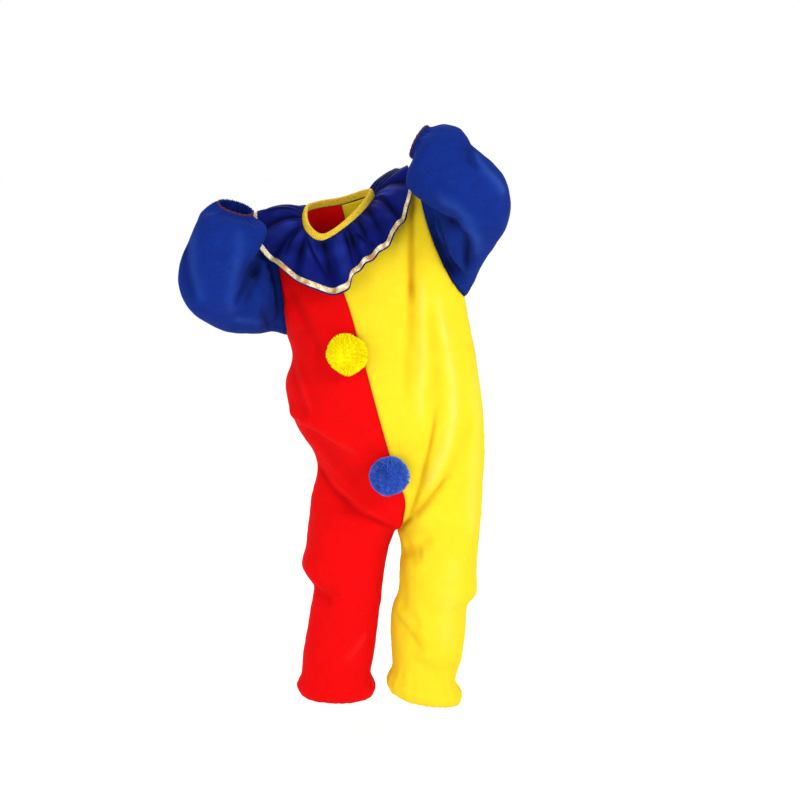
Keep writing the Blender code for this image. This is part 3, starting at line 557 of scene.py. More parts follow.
# %% Rows from the armpit to the shoulder
def upper_rows(below, tip, neckline, armhole_line, seam_line, forward, columns, shoulder_columns):
    """Rows between the armpit's section and the top.

    Each row is an arc from the armhole to the centre seam, eased into the top row, which is the
    shoulder seam followed by the neckline.
    """
    share = np.linspace(0, 1, columns + 1)[:, None]
    along_shoulder = np.linspace(0, 1, shoulder_columns + 1)[:-1, None]
    top = np.concatenate([tip + (neckline[0] - tip) * along_shoulder, neckline])
    top_bulge = top - (top[0] + (top[-1] - top[0]) * share)
    rows = [below]
    steps = len(armhole_line) - 1
    for step in range(1, steps + 1):
        outer, inner = armhole_line[step], seam_line[step]
        mix = (step / steps) ** 3
        depth = forward * (inner[1] - outer[1])
        curved = arc(outer, inner, 90, max(depth, 0), 0, forward, columns)
        flat = outer + (inner - outer) * share + top_bulge
        rows.append(curved * (1 - mix) + flat * mix)
    return np.array(rows)


def body_half(side, leg, armhole, stations, places, columns, shoulder_columns, armhole_rows):
    """(front grid, back grid, armpit row) of one half of the body.

    A grid's rows run from the ankle to the shoulder, and its columns from the side seam to the
    inner seam. The stations are the places of the shoulder, front and back on the neckline.
    """
    front, back = lower_rows(side, leg, places, columns)
    armpit = np.array(getattr(TORSO[-1], side), float)
    tip = np.array(armhole.tip, float)
    shoulder, *ends = stations
    grids = []
    for lower, station, low, high, seam, forward in (
        (front, ends[0], armhole.front_low, armhole.front_high, "front", -1),
        (back, ends[1], armhole.back_low, armhole.back_high, "back", 1),
    ):
        neckline = neck_line(shoulder, station, columns - shoulder_columns)
        edge = evenly(bezier(armpit, low, high, tip, SAMPLES), armhole_rows)
        centre = seam_above(seam, neckline[-1], armhole_rows)
        upper = upper_rows(lower[-1], tip, neckline, edge, centre, forward, columns, shoulder_columns)
        grids.append(np.concatenate([lower, upper[1:]]))
    return grids[0], grids[1], len(front) - 1


# %% [markdown]
# ## Sleeves
#
# A full sleeve is one piece of cloth, sewn into a tube and gathered at the wrist. One round section
# swept along the arm would be too even, so each ring has four reaches: cloth bags outside a bend and
# is pushed together inside it. Each ring starts where it doesn't twist the last one, and tight bends
# are eased, as cloth would do by itself.

# %% Rings of the sleeves
SleeveRing = namedtuple("SleeveRing", "name middle along outer reach_out reach_in reach_front reach_back")
RIGHT_SLEEVE = [SleeveRing(*row) for row in (
    ("upper arm", (-104, -32, -113), (-0.80, -0.60, -0.05), (0.0, 0.0, -1.0), 54, 46, 42, 46),
    ("above elbow", (-128, -66, -110), (-0.70, -0.70, 0.15), (-0.15, 0.0, -1.0), 53, 33, 44, 48),
    ("elbow", (-150, -92, -98), (-0.40, -0.62, 0.68), (-0.72, -0.10, -0.68), 50, 27, 49, 43),
    ("below elbow", (-147, -102, -72), (-0.05, -0.20, 0.97), (-1.0, 0.0, -0.10), 47, 42, 44, 34),
    ("forearm", (-138, -97, -44), (0.12, 0.05, 0.99), (-1.0, 0.05, 0.08), 41, 50, 43, 37),
    ("blouse", (-128, -88, -16), (0.24, -0.05, 0.97), (-1.0, 0.0, 0.25), 39, 46, 40, 36),
    ("gather", (-124, -84, -9), (0.28, -0.15, 0.95), (-1.0, 0.0, 0.34), 32, 24, 26, 26),
    ("cuff", (-122, -83, -2), (0.30, -0.25, 0.92), (-1.0, 0.0, 0.32), 22, 22, 22, 22),
)]
LEFT_SLEEVE = [SleeveRing(*row) for row in (
    ("upper arm", (152, -40, -36), (0.60, -0.70, 0.38), (0.50, -0.15, -0.85), 57, 42, 39, 45),
    ("above elbow", (167, -68, -18), (0.50, -0.70, 0.50), (0.70, -0.10, -0.70), 46, 20, 43, 45),
    ("elbow", (180, -92, 0), (0.00, -0.60, 0.80), (0.96, -0.20, -0.14), 48, 22, 47, 37),
    ("below elbow", (178, -104, 15), (-0.60, -0.15, 0.77), (0.77, -0.10, 0.60), 47, 38, 43, 31),
    ("forearm", (164, -105, 24), (-0.86, 0.08, 0.50), (0.50, -0.05, 0.86), 46, 45, 41, 29),
    ("notch", (151, -100, 33), (-0.88, 0.15, 0.44), (0.44, -0.05, 0.90), 43, 46, 41, 31),
    ("blouse", (129, -89, 55), (-0.82, 0.20, 0.54), (0.56, -0.05, 0.82), 52, 55, 43, 34),
    ("droop", (114, -79, 66), (-0.79, 0.22, 0.58), (0.60, -0.05, 0.79), 43, 50, 39, 33),
    ("gather", (109, -73, 75), (-0.86, 0.26, 0.46), (0.50, -0.05, 0.86), 24, 24, 24, 24),
    ("cuff", (104, -71, 79), (-0.86, 0.28, 0.46), (0.50, -0.05, 0.86), 22, 22, 22, 22),
)]
SLEEVE_ROUNDS = 3
SLEEVE_HEAD = 13.0  # how far a sleeve leaves the armhole before it turns along the arm
print("rings of the sleeves:", len(RIGHT_SLEEVE), "and", len(LEFT_SLEEVE))

# %% Sleeve grid
HEAD_EASE = 0.98  # width of the sleeve head's second row, of its first


def ring_frame(ring):
    """(unit direction along the arm, unit direction to its outside) of a ring."""
    along = np.array(ring.along) / np.linalg.norm(ring.along)
    outer = np.array(ring.outer) - np.dot(ring.outer, along) * along
    return along, outer / np.linalg.norm(outer)


def sleeve_keys(armhole_loop, away, rings, hand):
    """Key loops from the armhole to the cuff, each started where it does not twist the last."""
    count = len(armhole_loop)
    middle = armhole_loop.mean(axis=0)
    start = armhole_loop[0] - middle
    keys = [armhole_loop, middle + (armhole_loop - middle) * HEAD_EASE + np.array(away) * SLEEVE_HEAD]
    for ring in rings:
        along, outer = ring_frame(ring)
        front = np.cross(along, outer) * hand
        start = start - np.dot(start, along) * along
        turned = math.atan2(start @ front, start @ outer)
        angles = turned + np.arange(count) / count * 2 * math.pi
        across, deep = np.cos(angles)[:, None], np.sin(angles)[:, None]
        reach_across = np.where(across > 0, ring.reach_out, ring.reach_in)
        reach_deep = np.where(deep > 0, ring.reach_front, ring.reach_back)
        keys.append(np.array(ring.middle) + across * reach_across * outer + deep * reach_deep * front)
    return keys


def relaxed(grid, rounds):
    """A sleeve's grid with its tight bends eased; the armhole and the cuff stay where they are."""
    for _ in range(rounds):
        inside = grid[1:-1]
        along = (grid[:-2] + grid[2:]) / 2
        round_ = (np.roll(grid, 1, axis=1) + np.roll(grid, -1, axis=1))[1:-1] / 2
        eased = inside * 0.5 + along * 0.3 + round_ * 0.2
        hold = np.minimum(np.arange(len(eased))[::-1] / 3, 1)[:, None, None]
        grid = np.concatenate([grid[:1], inside + (eased - inside) * hold, grid[-1:]])
    return grid


def sleeve_grid(armhole_loop, away, rings, hand, spacing):
    """Rows from the armhole to the cuff; its columns go round from the underarm by the front."""
    keys = sleeve_keys(armhole_loop, away, rings, hand)
    middles = np.array([key.mean(axis=0) for key in keys])
    rows = [0.0]
    for index, step in enumerate(np.linalg.norm(np.diff(middles, axis=0), axis=1)):
        rows += steps_between(index, step, spacing)
    return relaxed(through(keys, rows), SLEEVE_ROUNDS)


# %% [markdown]
# ## Folds
#
# The folds that catch the eye are set one by one: a soft trough with raised lips along a line, deep
# where the hip, groin, elbow and armpit bend the cloth, and weaker on the back. A row gives a fold's
# depth, its width and the points of its line, so it lies where the suit has it, which a simulation
# can't promise. The depth is uneven along the line, because cloth never folds evenly.

# %% Folds, set one by one
Fold = namedtuple("Fold", "name depth width line step", defaults=(0,))
FOLDS = {
    "body": (
        ("left long crease", 5.0, 16, [
            (96, -45, -10), (99, -58, -50), (99, -62, -110), (98, -64, -180), (92, -66, -240)]),
        ("left hip crease", 4.5, 15, [
            (122, -45, -268), (120, -50, -302), (110, -55, -334), (104, -58, -360), (97, -58, -387)]),
        ("left groin", 6.0, 13, [(150, -35, -338), (120, -52, -368), (97, -56, -391), (82, -50, -410)]),
        ("left knee", 4.0, 13, [(78, -30, -440), (92, -50, -450), (112, -55, -446)]),
        ("left shin", 3.0, 13, [(76, -30, -512), (92, -48, -535), (106, -50, -556)]),
        ("right waist ridge", -5.0, 14, [
            (-60, 5, -262), (-54, -25, -271), (-30, -55, -278), (-5, -68, -292), (16, -72, -305)]),
        ("right groin", 5.0, 13, [
            (-30, -10, -326), (-24, -20, -334), (-6, -48, -361), (12, -58, -380), (36, -58, -399),
            (62, -50, -412)]),
        ("right ribs", 3.0, 14, [(-53, -40, -196), (-40, -58, -228), (-34, -64, -252)]),
        ("right armpit", 3.5, 12, [(-62, -25, -108), (-45, -52, -144), (-36, -60, -164)]),
        ("right knee", 4.0, 12, [(-38, -20, -500), (-15, -45, -508), (8, -50, -503)]),
        ("right waist at the back", 4.5, 15, [
            (-40, 30, -300), (-10, 60, -312), (30, 70, -330), (60, 70, -352)]),
        ("right seat", 4.0, 13, [(-20, 50, -392), (20, 64, -404), (55, 50, -418)]),
        ("left seat", 4.0, 13, [(170, 40, -372), (135, 60, -394), (100, 55, -412)]),
        ("left waist at the back", 3.5, 15, [(165, 35, -250), (135, 58, -272), (105, 68, -300)]),
        ("left blade", 4.0, 15, [(110, 48, -20), (104, 56, -70), (100, 62, -130)]),
        ("right blade", 3.5, 14, [(-60, 50, -70), (-40, 58, -110), (-20, 62, -160)]),
        ("right calf at the back", 3.5, 13, [(-30, 40, -520), (5, 50, -534), (38, 38, -530)]),
        ("left calf at the back", 3.5, 13, [(90, 40, -528), (122, 48, -538), (156, 36, -530)]),
    ),
    "sleeve_left": (
        ("left sleeve head", 5.5, 11, [(124, -62, -32), (140, -60, -66), (158, -42, -100)]),
        ("left upper arm", 4.5, 10, [(160, -112, -12), (164, -96, -46), (168, -60, -80)]),
        ("left forearm", -4.0, 12, [(148, -95, 70), (164, -100, 48), (180, -105, 19)]),
    ),
    "sleeve_right": (
        ("right elbow", 6.0, 11, [(-94, -62, -66), (-108, -72, -96), (-126, -80, -122)]),
        ("right sleeve head", 4.0, 10, [(-84, -45, -90), (-90, -55, -120), (-92, -50, -146)]),
    ),
}
print("folds:", {piece: len(rows) for piece, rows in FOLDS.items()})

# %% [markdown]
# ## One skin before it is cut apart
#
# Panels that are sewn together must fold together. So all six pieces of the body and sleeves are set
# out first as grids of points, and points that lie on a seam are treated as one: they share their
# normal and move alike. Only then is each piece made.

# %% How finely the body and sleeves are set out
Cloth = namedtuple("Cloth", "name grid closed flip material")
ROW_SPACING = 2.9
SEAT_STEPS = 7  # rows from each key section to the next one between the crotch and the seat
PANEL_COLUMNS = 88
SHOULDER_COLUMNS = 32
ARMHOLE_ROWS = 88
SLEEVE_SPACING = 19.0  # a sleeve is set out coarsely, eased, and then made finer
SLEEVE_STEPS = 11
SLEEVE_FINER = 7
HEAD_ROWS = 10  # over which a sleeve's fine rows meet its armhole exactly
CROTCH_ROWS = 10  # above and below the crotch, whose fork is smoothed
CROTCH_ROUNDS = 14
cloths = []


# %% Finer grids, and the seam at the centre
def finer(coarse, rows_between, columns):
    """The same closed form with more rows and columns."""
    rows = through(coarse, np.linspace(0, len(coarse) - 1, (len(coarse) - 1) * rows_between + 1))
    turned = np.moveaxis(rows, 1, 0)
    return np.moveaxis(through(turned, np.arange(columns) / columns * len(turned), closed=True), 0, 1)


def joined_at_centre(right, left, above):
    """Brings the centre edges of two panels together, and calms the cloth where the legs part."""
    apart = (right[-above:, -1:] - left[-above:, -1:]) / 2
    print("halves apart at the centre seam before they are joined:", np.abs(apart).max().round(2), "mm")
    near_seam = np.linspace(0, 1, PANEL_COLUMNS + 1)[:, None] ** 4
    right[-above:] -= apart * near_seam
    left[-above:] += apart * near_seam
    for grid in (right, left):
        low, high = len(grid) - above - CROTCH_ROWS, len(grid) - above + CROTCH_ROWS
        for _ in range(CROTCH_ROUNDS):
            mean = (grid[low - 1 : high - 1] + grid[low + 1 : high + 1]) / 2
            grid[low:high] += (mean - grid[low:high]) * 0.5 * (1 - near_seam**2)


# %% Panels and sleeves of both sides
leg_places, torso_places = key_places((RIGHT_LEG, LEFT_LEG), ROW_SPACING)
seat_places = [step / SEAT_STEPS for step in range(1, 4 * SEAT_STEPS)]
torso_places = seat_places + [place for place in torso_places if place >= 4]
SIDES = (
    ("right", red_fleece, RIGHT_LEG, RIGHT_ARMHOLE, (6, 8, 4), RIGHT_SLEEVE, 1),
    ("left", yellow_fleece, LEFT_LEG, LEFT_ARMHOLE, (2, 0, 4), LEFT_SLEEVE, -1),
)
BODY_COUNTS = (PANEL_COLUMNS, SHOULDER_COLUMNS, ARMHOLE_ROWS)
for (side, face, leg, armhole, stations, rings, hand), low in zip(SIDES, leg_places):
    body_places = low + [len(leg) - 1 + place for place in torso_places]
    front, back, armpit = body_half(side, leg, armhole, stations, body_places, *BODY_COUNTS)
    loop = np.concatenate([front[armpit:, 0], back[armpit + 1 : -1, 0][::-1]])
    coarse = sleeve_grid(loop[:: ARMHOLE_ROWS // SLEEVE_STEPS], armhole.away, rings, hand, SLEEVE_SPACING)
    sleeve = finer(coarse, SLEEVE_FINER, len(loop))
    fade = np.clip(1 - np.arange(len(sleeve)) / HEAD_ROWS, 0, 1)[:, None, None] ** 2
    sleeve = sleeve + (loop - sleeve[0]) * fade
    sleeve = np.concatenate([sleeve, sleeve[:, :1]], axis=1)
    cloths.append(Cloth(f"front_{side}", front, False, hand < 0, face))
    cloths.append(Cloth(f"back_{side}", back, False, hand > 0, face))
    cloths.append(Cloth(f"sleeve_{side}", sleeve, True, hand < 0, blue_fleece))
grids = {cloth.name: cloth.grid for cloth in cloths}
for half in ("front", "back"):
    above_crotch = len(grids[f"{half}_left"]) - body_places.index(len(leg))
    joined_at_centre(grids[f"{half}_right"], grids[f"{half}_left"], above_crotch)
for name, grid in grids.items():
    print(name, "rows and columns:", grid.shape[:2])


# %% Shared normals
def unit(vectors):
    """The same directions with a length of 1."""
    return vectors / np.maximum(np.linalg.norm(vectors, axis=-1, keepdims=True), 1e-9)


def facing(grid, closed, flip):
    """Unit normals of a grid; a closed grid ends with the column that it starts with."""
    rise = np.gradient(grid, axis=0)
    if closed:
        ring = grid[:, :-1]
        run = np.roll(ring, -1, axis=1) - np.roll(ring, 1, axis=1)
        run = np.concatenate([run, run[:, :1]], axis=1)
    else:
        run = np.gradient(grid, axis=1)
    return unit(np.cross(run, rise)) * (-1 if flip else 1)


def shared(values, group):
    """The mean of the values at each place, so that sewn edges agree."""
    total = np.zeros((group.max() + 1,) + values.shape[1:])
    np.add.at(total, group, values)
    count = np.bincount(group).reshape((-1,) + (1,) * (values.ndim - 1))
    return (total / count)[group]


def stacked(grids):
    """The points of all grids as one list, grid by grid."""
    return np.concatenate([grid.reshape(-1, grid.shape[-1]) for grid in grids])


points = stacked([cloth.grid for cloth in cloths])
group = np.unique(np.round(points, 2), axis=0, return_inverse=True)[1].reshape(-1)
normals = unit(shared(stacked([facing(c.grid, c.closed, c.flip) for c in cloths]), group))
owner = np.concatenate([[k] * (c.grid.shape[0] * c.grid.shape[1]) for k, c in enumerate(cloths)])
print("points:", len(points), "places:", group.max() + 1)

# %% [markdown]
# ## Relief of the cloth
#
# Four kinds of relief are added along the shared normals, each with a real size:
#
# * the folds and the sharper creases, set one by one,
# * a soft unevenness, as fleece never hangs flat: 1 to 2 mm over 30 to 60 mm,
# * gathers where elastic draws in the ankles and wrists, and where the sleeve is eased into its armhole,
# * a groove a millimetre deep along each seam, with a slight pucker beside it.
#
# Relief of this size changes the outline, so the points themselves are moved, and only the nap and
# the finest threads are left to bumps in the materials.


# %% Distances on a panel
def distance_to_line(points, normals, line, flat):
    """(distance along the cloth from each point to a line, share of the way along the line).

    The height of a point over the line is left out of its distance by the share `flat`.
    """
    steps = np.linalg.norm(np.diff(line, axis=0), axis=1)
    reached = np.concatenate([[0], np.cumsum(steps)])
    best = np.full(len(points), np.inf)
    along = np.zeros(len(points))
    for k, (a, b) in enumerate(zip(line, line[1:])):
        share = np.clip((points - a) @ (b - a) / steps[k] ** 2, 0, 1)
        gap = points - (a + (b - a) * share[:, None])
        height = np.sum(gap * normals, axis=1)
        far = np.sqrt(np.maximum(np.sum(gap * gap, axis=1) - flat * height**2, 0))
        closer = far < best
        best = np.where(closer, far, best)
        along = np.where(closer, (reached[k] + share * steps[k]) / reached[-1], along)
    return best, along


def run_from(grid, axis):
    """Distance travelled along the rows (axis 1) or the columns (axis 0) of a grid."""
    steps = np.linalg.norm(np.diff(grid, axis=axis), axis=2)
    zero = np.zeros_like(steps[:1] if axis == 0 else steps[:, :1])
    return np.concatenate([zero, np.cumsum(steps, axis=axis)], axis=axis)


def cloth_noise(places, size, stretch=1.0, seed=0.0):
    """Soft noise from -1 to 1 at each place, with the size of its swells in millimetres."""
    scaled = places.reshape(-1, 3) / np.array([size, size, size * stretch]) + seed
    return np.array([noise.noise(Vector(place)) for place in scaled]).reshape(places.shape[:-1])


def bell(distance, middle, width):
    """1 at the middle distance, dying away over the width."""
    return np.exp(-(((distance - middle) / width) ** 2))


# %% [markdown]
# ## Creases
#
# A crease is a fold of only a few millimetres, where cloth is pushed together, and its bottom gets
# painted shade. A ridge stands out between two of them, gets a painted highlight, and has a depth
# below zero here. Where one part of the cloth laps over the next, a crease also has a step, which
# comes last in its row: it raises the side to the right of its line, seen from outside with the line
# running away from the eye.

# %% Creases of the body
CREASES = {"body": (
    ("long crease", 2.6, 4.0, [
        (96, -20, 18), (96, -32, -3), (95, -46, -45), (95, -52, -91), (96, -54, -133)], -0.6),
    ("middle of the long crease", 1.2, 4.5, [
        (95, -46, -45), (95, -52, -91), (96, -54, -133), (95, -60, -190)]),
    ("end of the long crease", 1.2, 5.5, [
        (97, -50, -72), (95, -56, -152), (93, -61, -184), (90, -69, -214), (88, -74, -260)]),
    ("hip crease", 3.0, 3.7, [
        (129, -66, -244), (124, -67, -284), (119, -66, -310), (111, -63, -341), (101, -54, -381),
        (91, -46, -405), (80, -15, -421)], 1.4),
    ("above the hip crease", 1.6, 8.0, [
        (120, -50, -120), (126, -57, -183), (128, -62, -221), (126, -66, -290)]),
    ("groin crease", 3.2, 3.8, [
        (145, -52, -340), (129, -55, -364), (118, -54, -378), (95, -49, -403), (86, -36, -414),
        (78, -8, -424)], 1.6),
    ("above the groin crease", 1.8, 9.0, [
        (176, -38, -262), (163, -50, -300), (152, -55, -325), (133, -54, -358)]),
    ("top of the left leg", 2.2, 6.5, [
        (80, -14, -448), (85, -21, -452), (96, -38, -450), (110, -51, -438), (124, -53, -424)], -1.0),
    ("inside of the left leg", 1.6, 10.0, [(84, -24, -450), (86, -32, -487), (86, -35, -520)]),
    ("left shin crease", 1.9, 7.5, [
        (74, -20, -530), (86, -38, -544), (95, -42, -555), (104, -44, -568), (115, -45, -586)], -1.2),
    ("above the left hem", 1.5, 7.5, [
        (90, -36, -580), (112, -44, -595), (130, -41, -602), (160, -18, -603)]),
    ("left front ridge", -2.6, 7.5, [
        (126, -52, -98), (133, -48, -149), (140, -51, -185), (147, -55, -228), (148, -58, -266),
        (142, -61, -304), (124, -63, -341), (102, -53, -386)]),
    ("ridge by the long crease", -1.7, 6.5, [
        (106, -53, -80), (110, -54, -145), (110, -61, -189), (106, -69, -233), (106, -72, -290)]),
    ("left flank ridge", -2.0, 11.0, [
        (176, -28, -190), (178, -34, -263), (177, -37, -315), (174, -34, -381), (171, -40, -445)]),
    ("left shin ridge", -1.6, 12.0, [(150, -56, -440), (145, -55, -508), (141, -41, -590)]),
    ("right groin crease", 2.3, 3.7, [
        (-33, 4, -334), (-25, -11, -342), (-14, -30, -357), (0, -38, -371), (17, -50, -386),
        (36, -55, -398), (53, -56, -405), (68, -48, -413), (76, -28, -420)], -1.4),
    ("ridge above the right groin", -1.2, 4.0, [
        (-30, -6, -322), (-15, -30, -346), (1, -39, -364), (18, -47, -378), (32, -54, -390),
        (50, -57, -398), (68, -54, -406)]),
    ("waist ridge", -1.5, 4.5, [
        (-50, -24, -272), (-30, -46, -283), (-10, -58, -295), (8, -63, -305), (32, -69, -319)], -1.6),
    ("below the waist", 2.6, 12.5, [
        (-44, -16, -286), (-24, -41, -301), (-6, -48, -320), (14, -55, -340), (38, -61, -360)]),
    ("right side crease", 1.8, 7.0, [
        (-58, -4, -198), (-54, -26, -220), (-50, -35, -235), (-46, -37, -250), (-38, -44, -276)]),
    ("right side ridge", -1.0, 3.5, [
        (-53, -18, -200), (-46, -36, -220), (-42, -42, -231), (-37, -46, -251), (-30, -50, -272)]),
    ("right armpit crease", 2.4, 8.0, [
        (-63, -38, -95), (-49, -42, -131), (-37, -43, -159), (-26, -52, -177), (-8, -62, -200)]),
    ("right knee crease", 1.4, 6.0, [
        (-40, 0, -492), (-29, -19, -501), (-17, -37, -508), (-4, -44, -520)], -1.2),
    ("right shin ridge", -1.5, 5.0, [
        (6, -39, -595), (16, -38, -587), (25, -35, -577), (32, -32, -566), (39, -27, -556)], 0.8),
    ("seat crease on the right", 2.2, 5.0, [
        (-26, 32, -384), (16, 58, -402), (54, 52, -416), (74, 30, -422)], 1.6),
    ("seat crease on the left", 2.2, 5.0, [
        (178, 26, -366), (136, 58, -392), (100, 54, -412), (82, 30, -422)], -1.6),
    ("back waist crease", 2.0, 6.5, [
        (-42, 28, -290), (0, 62, -308), (50, 70, -322), (100, 68, -316)], 1.4),
    ("left blade crease", 2.4, 6.0, [(112, 46, -14), (106, 54, -66), (102, 62, -132)], 1.0),
    ("right blade crease", 2.0, 6.0, [(-56, 52, -66), (-40, 58, -110), (-22, 62, -158)], -1.0),
    ("long crease of the back", 2.2, 5.0, [(128, 60, -60), (132, 66, -150), (126, 70, -250)], 0.6),
    ("left back ridge", -1.7, 11.0, [
        (150, 56, -100), (156, 60, -200), (150, 64, -320), (140, 60, -400)]),
    ("right back ridge", -1.6, 11.0, [(-6, 60, -170), (2, 64, -250), (20, 70, -350)]),
    ("back of the left knee", 1.8, 6.5, [(180, 20, -500), (150, 44, -508), (112, 40, -516)], 1.0),
    ("back of the right knee", 1.8, 6.5, [(-26, 22, -492), (6, 44, -500), (40, 40, -508)], -1.0),
)}
print("creases and ridges of the body:", len(CREASES["body"]))

# %% Creases of the sleeves
CREASES["sleeve_left"] = (
    ("armhole tuck", 4.4, 5.0, [
        (108, -56, 2), (117, -54, -26), (130, -52, -58), (143, -44, -83), (158, -32, -106)], 1.2),
    ("beside the left armhole", 3.6, 5.0, [
        (121, -54, -6), (127, -66, -21), (132, -80, -36), (138, -74, -51), (146, -52, -67),
        (153, -44, -80), (160, -36, -97)]),
    ("under the forearm", 3.8, 5.0, [
        (130, -66, -9), (139, -76, -15), (153, -110, -22), (162, -112, -34), (165, -92, -53),
        (165, -70, -69), (164, -46, -90)], -2.2),
    ("notch above the elbow", 2.8, 6.5, [
        (172, -86, 84), (169, -101, 77), (164, -121, 67), (166, -131, 54), (172, -134, 40)], 1.4),
    ("forearm ridge", -2.6, 7.5, [
        (164, -110, 74), (175, -125, 56), (185, -128, 44), (196, -126, 31), (208, -116, 8)], 1.0),
    ("ridge under the forearm", -2.0, 7.0, [
        (117, -121, 17), (135, -129, 7), (151, -133, -1), (162, -130, -12), (174, -110, -36),
        (177, -72, -66)]),
    ("back of the left elbow", 2.6, 6.5, [(162, -62, 38), (186, -54, 14), (208, -62, -4)], 1.2),
)
CREASES["sleeve_right"] = (
    ("bend of the right arm", 3.6, 5.5, [
        (-92, -36, -64), (-104, -61, -82), (-111, -98, -94), (-116, -118, -106),
        (-121, -121, -124)], 2.6),
    ("second crease of the bend", 2.8, 5.0, [
        (-95, -50, -73), (-98, -75, -89), (-104, -100, -104), (-111, -112, -124)], 1.6),
    ("along the right armhole", 3.0, 5.0, [
        (-88, -37, -68), (-80, -37, -92), (-76, -34, -118), (-73, -21, -150)], 1.4),
    ("right forearm ridge", -1.4, 8.0, [
        (-118, -127, -20), (-114, -133, -52), (-123, -134, -86), (-128, -129, -111),
        (-127, -109, -142)]),
    ("ridge outside the right arm", -1.3, 8.0, [
        (-166, -98, -14), (-172, -123, -47), (-172, -132, -70), (-166, -134, -95),
        (-158, -126, -124)]),
    ("swag under the right arm", -1.1, 5.0, [
        (-128, -109, -136), (-121, -103, -139), (-106, -87, -143), (-90, -62, -143)]),
    ("tuck under the right arm", 2.2, 5.0, [(-96, -88, -126), (-87, -52, -148), (-86, -27, -160)], 1.0),
    ("outside of the right elbow", 1.8, 7.0, [
        (-186, -100, -40), (-183, -120, -71), (-179, -124, -95), (-170, -122, -120)], 1.6),
    ("back of the right elbow", 2.6, 6.5, [(-112, -52, -60), (-140, -44, -74), (-168, -50, -86)], 1.2),
)
print("creases and ridges of the sleeves:", len(CREASES["sleeve_left"]), "and", len(CREASES["sleeve_right"]))

# %% How deep the folds are, and their painted shade and highlights
# Strength of the painted shade in a crease and of the painted highlight on a ridge.
HOLLOW_SHADE = {"body": 0.9, "sleeve_left": 1.0, "sleeve_right": 1.1}  # of a crease as deep as it is wide
RIDGE_HIGHLIGHT = 0.55
FOLD_DEPTH = 1.2  # gives back the depth that the unevenness takes from a fold
STEP_WIDTHS = 3  # a step dies away over this many widths of its crease
SIDE_BLUR = 40.0  # square millimetres over which a step changes sides
LINE_REACH = 5  # widths from a line to the furthest points that it moves
SWELLS = ((1.5, 36.0, 1.7, 7.7), (0.5, 14.0, 1.3, 1.9))  # height, size, stretch and seed of each


def side_of_line(places, normals, line):
    """1 to the right of a line and -1 to its left, seen from outside, softened close to it."""
    middle = (line[:-1] + line[1:]) / 2
    nearest = np.argmin(np.linalg.norm(places[:, None] - middle[None], axis=2), axis=1)
    across = np.cross(places - line[nearest], line[nearest + 1] - line[nearest])
    turned = np.sum(across * normals, axis=1)
    return turned / np.sqrt(turned**2 + SIDE_BLUR**2)


depth = np.zeros(len(points))
# Painted shading of each point: above zero, painted shade in a crease; below zero, a painted highlight on a
# ridge.
painted_shading = np.zeros(len(points))  # 1 deep in a crease, -1 on top of a sharp ridge
uneven = 0.85 + 0.4 * cloth_noise(points, 28.0, seed=3.1)
names = list(grids)
on_piece = {name: owner == names.index(name) for name in ("sleeve_left", "sleeve_right")}
on_piece["body"] = ~(on_piece["sleeve_left"] | on_piece["sleeve_right"])


def on_line(piece, fold, ends, flat):
    """(points near a fold's line, distance in widths, strength along the line)."""
    line = np.array(fold.line, float)
    reach = LINE_REACH * fold.width
    near = np.all((points > line.min(axis=0) - reach) & (points < line.max(axis=0) + reach), axis=1)
    mine = np.flatnonzero(on_piece[piece] & near)
    off, along = distance_to_line(points[mine], normals[mine], line, flat)
    strength = ease(np.clip(along / ends, 0, 1)) * ease(np.clip((1 - along) / ends, 0, 1)) * uneven[mine]
    return mine, off / fold.width, strength


# %% Folds, creases and swells
for piece, rows in FOLDS.items():
    for fold in (Fold(*row) for row in rows):
        mine, reach, strength = on_line(piece, fold, 0.22, 0.8)
        near = np.linalg.norm(points[mine] - np.array(CROTCH), axis=1)
        strength *= ease(np.clip(near / CROTCH_CALM, 0, 1))
        depth[mine] -= FOLD_DEPTH * fold.depth * (1 - reach**2) * np.exp(-(reach**2)) * strength
for piece, rows in CREASES.items():
    for fold in (Fold(*row) for row in rows):
        mine, reach, strength = on_line(piece, fold, 0.2, 0.97)
        side = side_of_line(points[mine], normals[mine], np.array(fold.line, float))
        top = np.exp(-(reach**2)) * strength
        step = fold.step * side * bell(reach, 0, STEP_WIDTHS) * strength
        depth[mine] += step - fold.depth * top
        # A crease gets painted shade and a ridge a painted highlight, by its depth for its width.
        shade = HOLLOW_SHADE[piece] if fold.depth > 0 else RIDGE_HIGHLIGHT
        painted_shading[mine] += top * fold.depth / fold.width * shade
depth += sum(height * cloth_noise(points, *swell) for height, *swell in SWELLS)
print("fold depths in mm:", depth.min().round(1), depth.max().round(1))

# %% Gathers and seams
Gather = namedtuple("Gather", "count phase height middle width")
ANKLE_GATHERS = (Gather(9, 0, 0.7, 30, 12), Gather(9, 0, 0.5, 52, 16), Gather(12, 1, 0.35, 10, 9))
WRIST_GATHERS = (Gather(20, 0, 0.9, 3, 7), Gather(20, 0, 0.7, 12, 7), Gather(10, 0.6, 1.5, 20, 11))
HEAD_GATHERS = (Gather(18, 0, 1.3, 13, 10),)  # of the sleeve into its armhole
GROOVE_WIDTH = 3.2
PUCKER_WIDTH = 9.0
NO_SEAM = 50  # added to the distances from the neck's edge, which has no groove


def gathered(gathers, share, distance):
    """Relief of gathers that go round a piece, each strongest at a distance from an edge."""
    return sum(
        np.cos(2 * math.pi * gather.count * share + gather.phase)
        * (gather.height * bell(distance, gather.middle, gather.width))
        for gather in gathers
    )


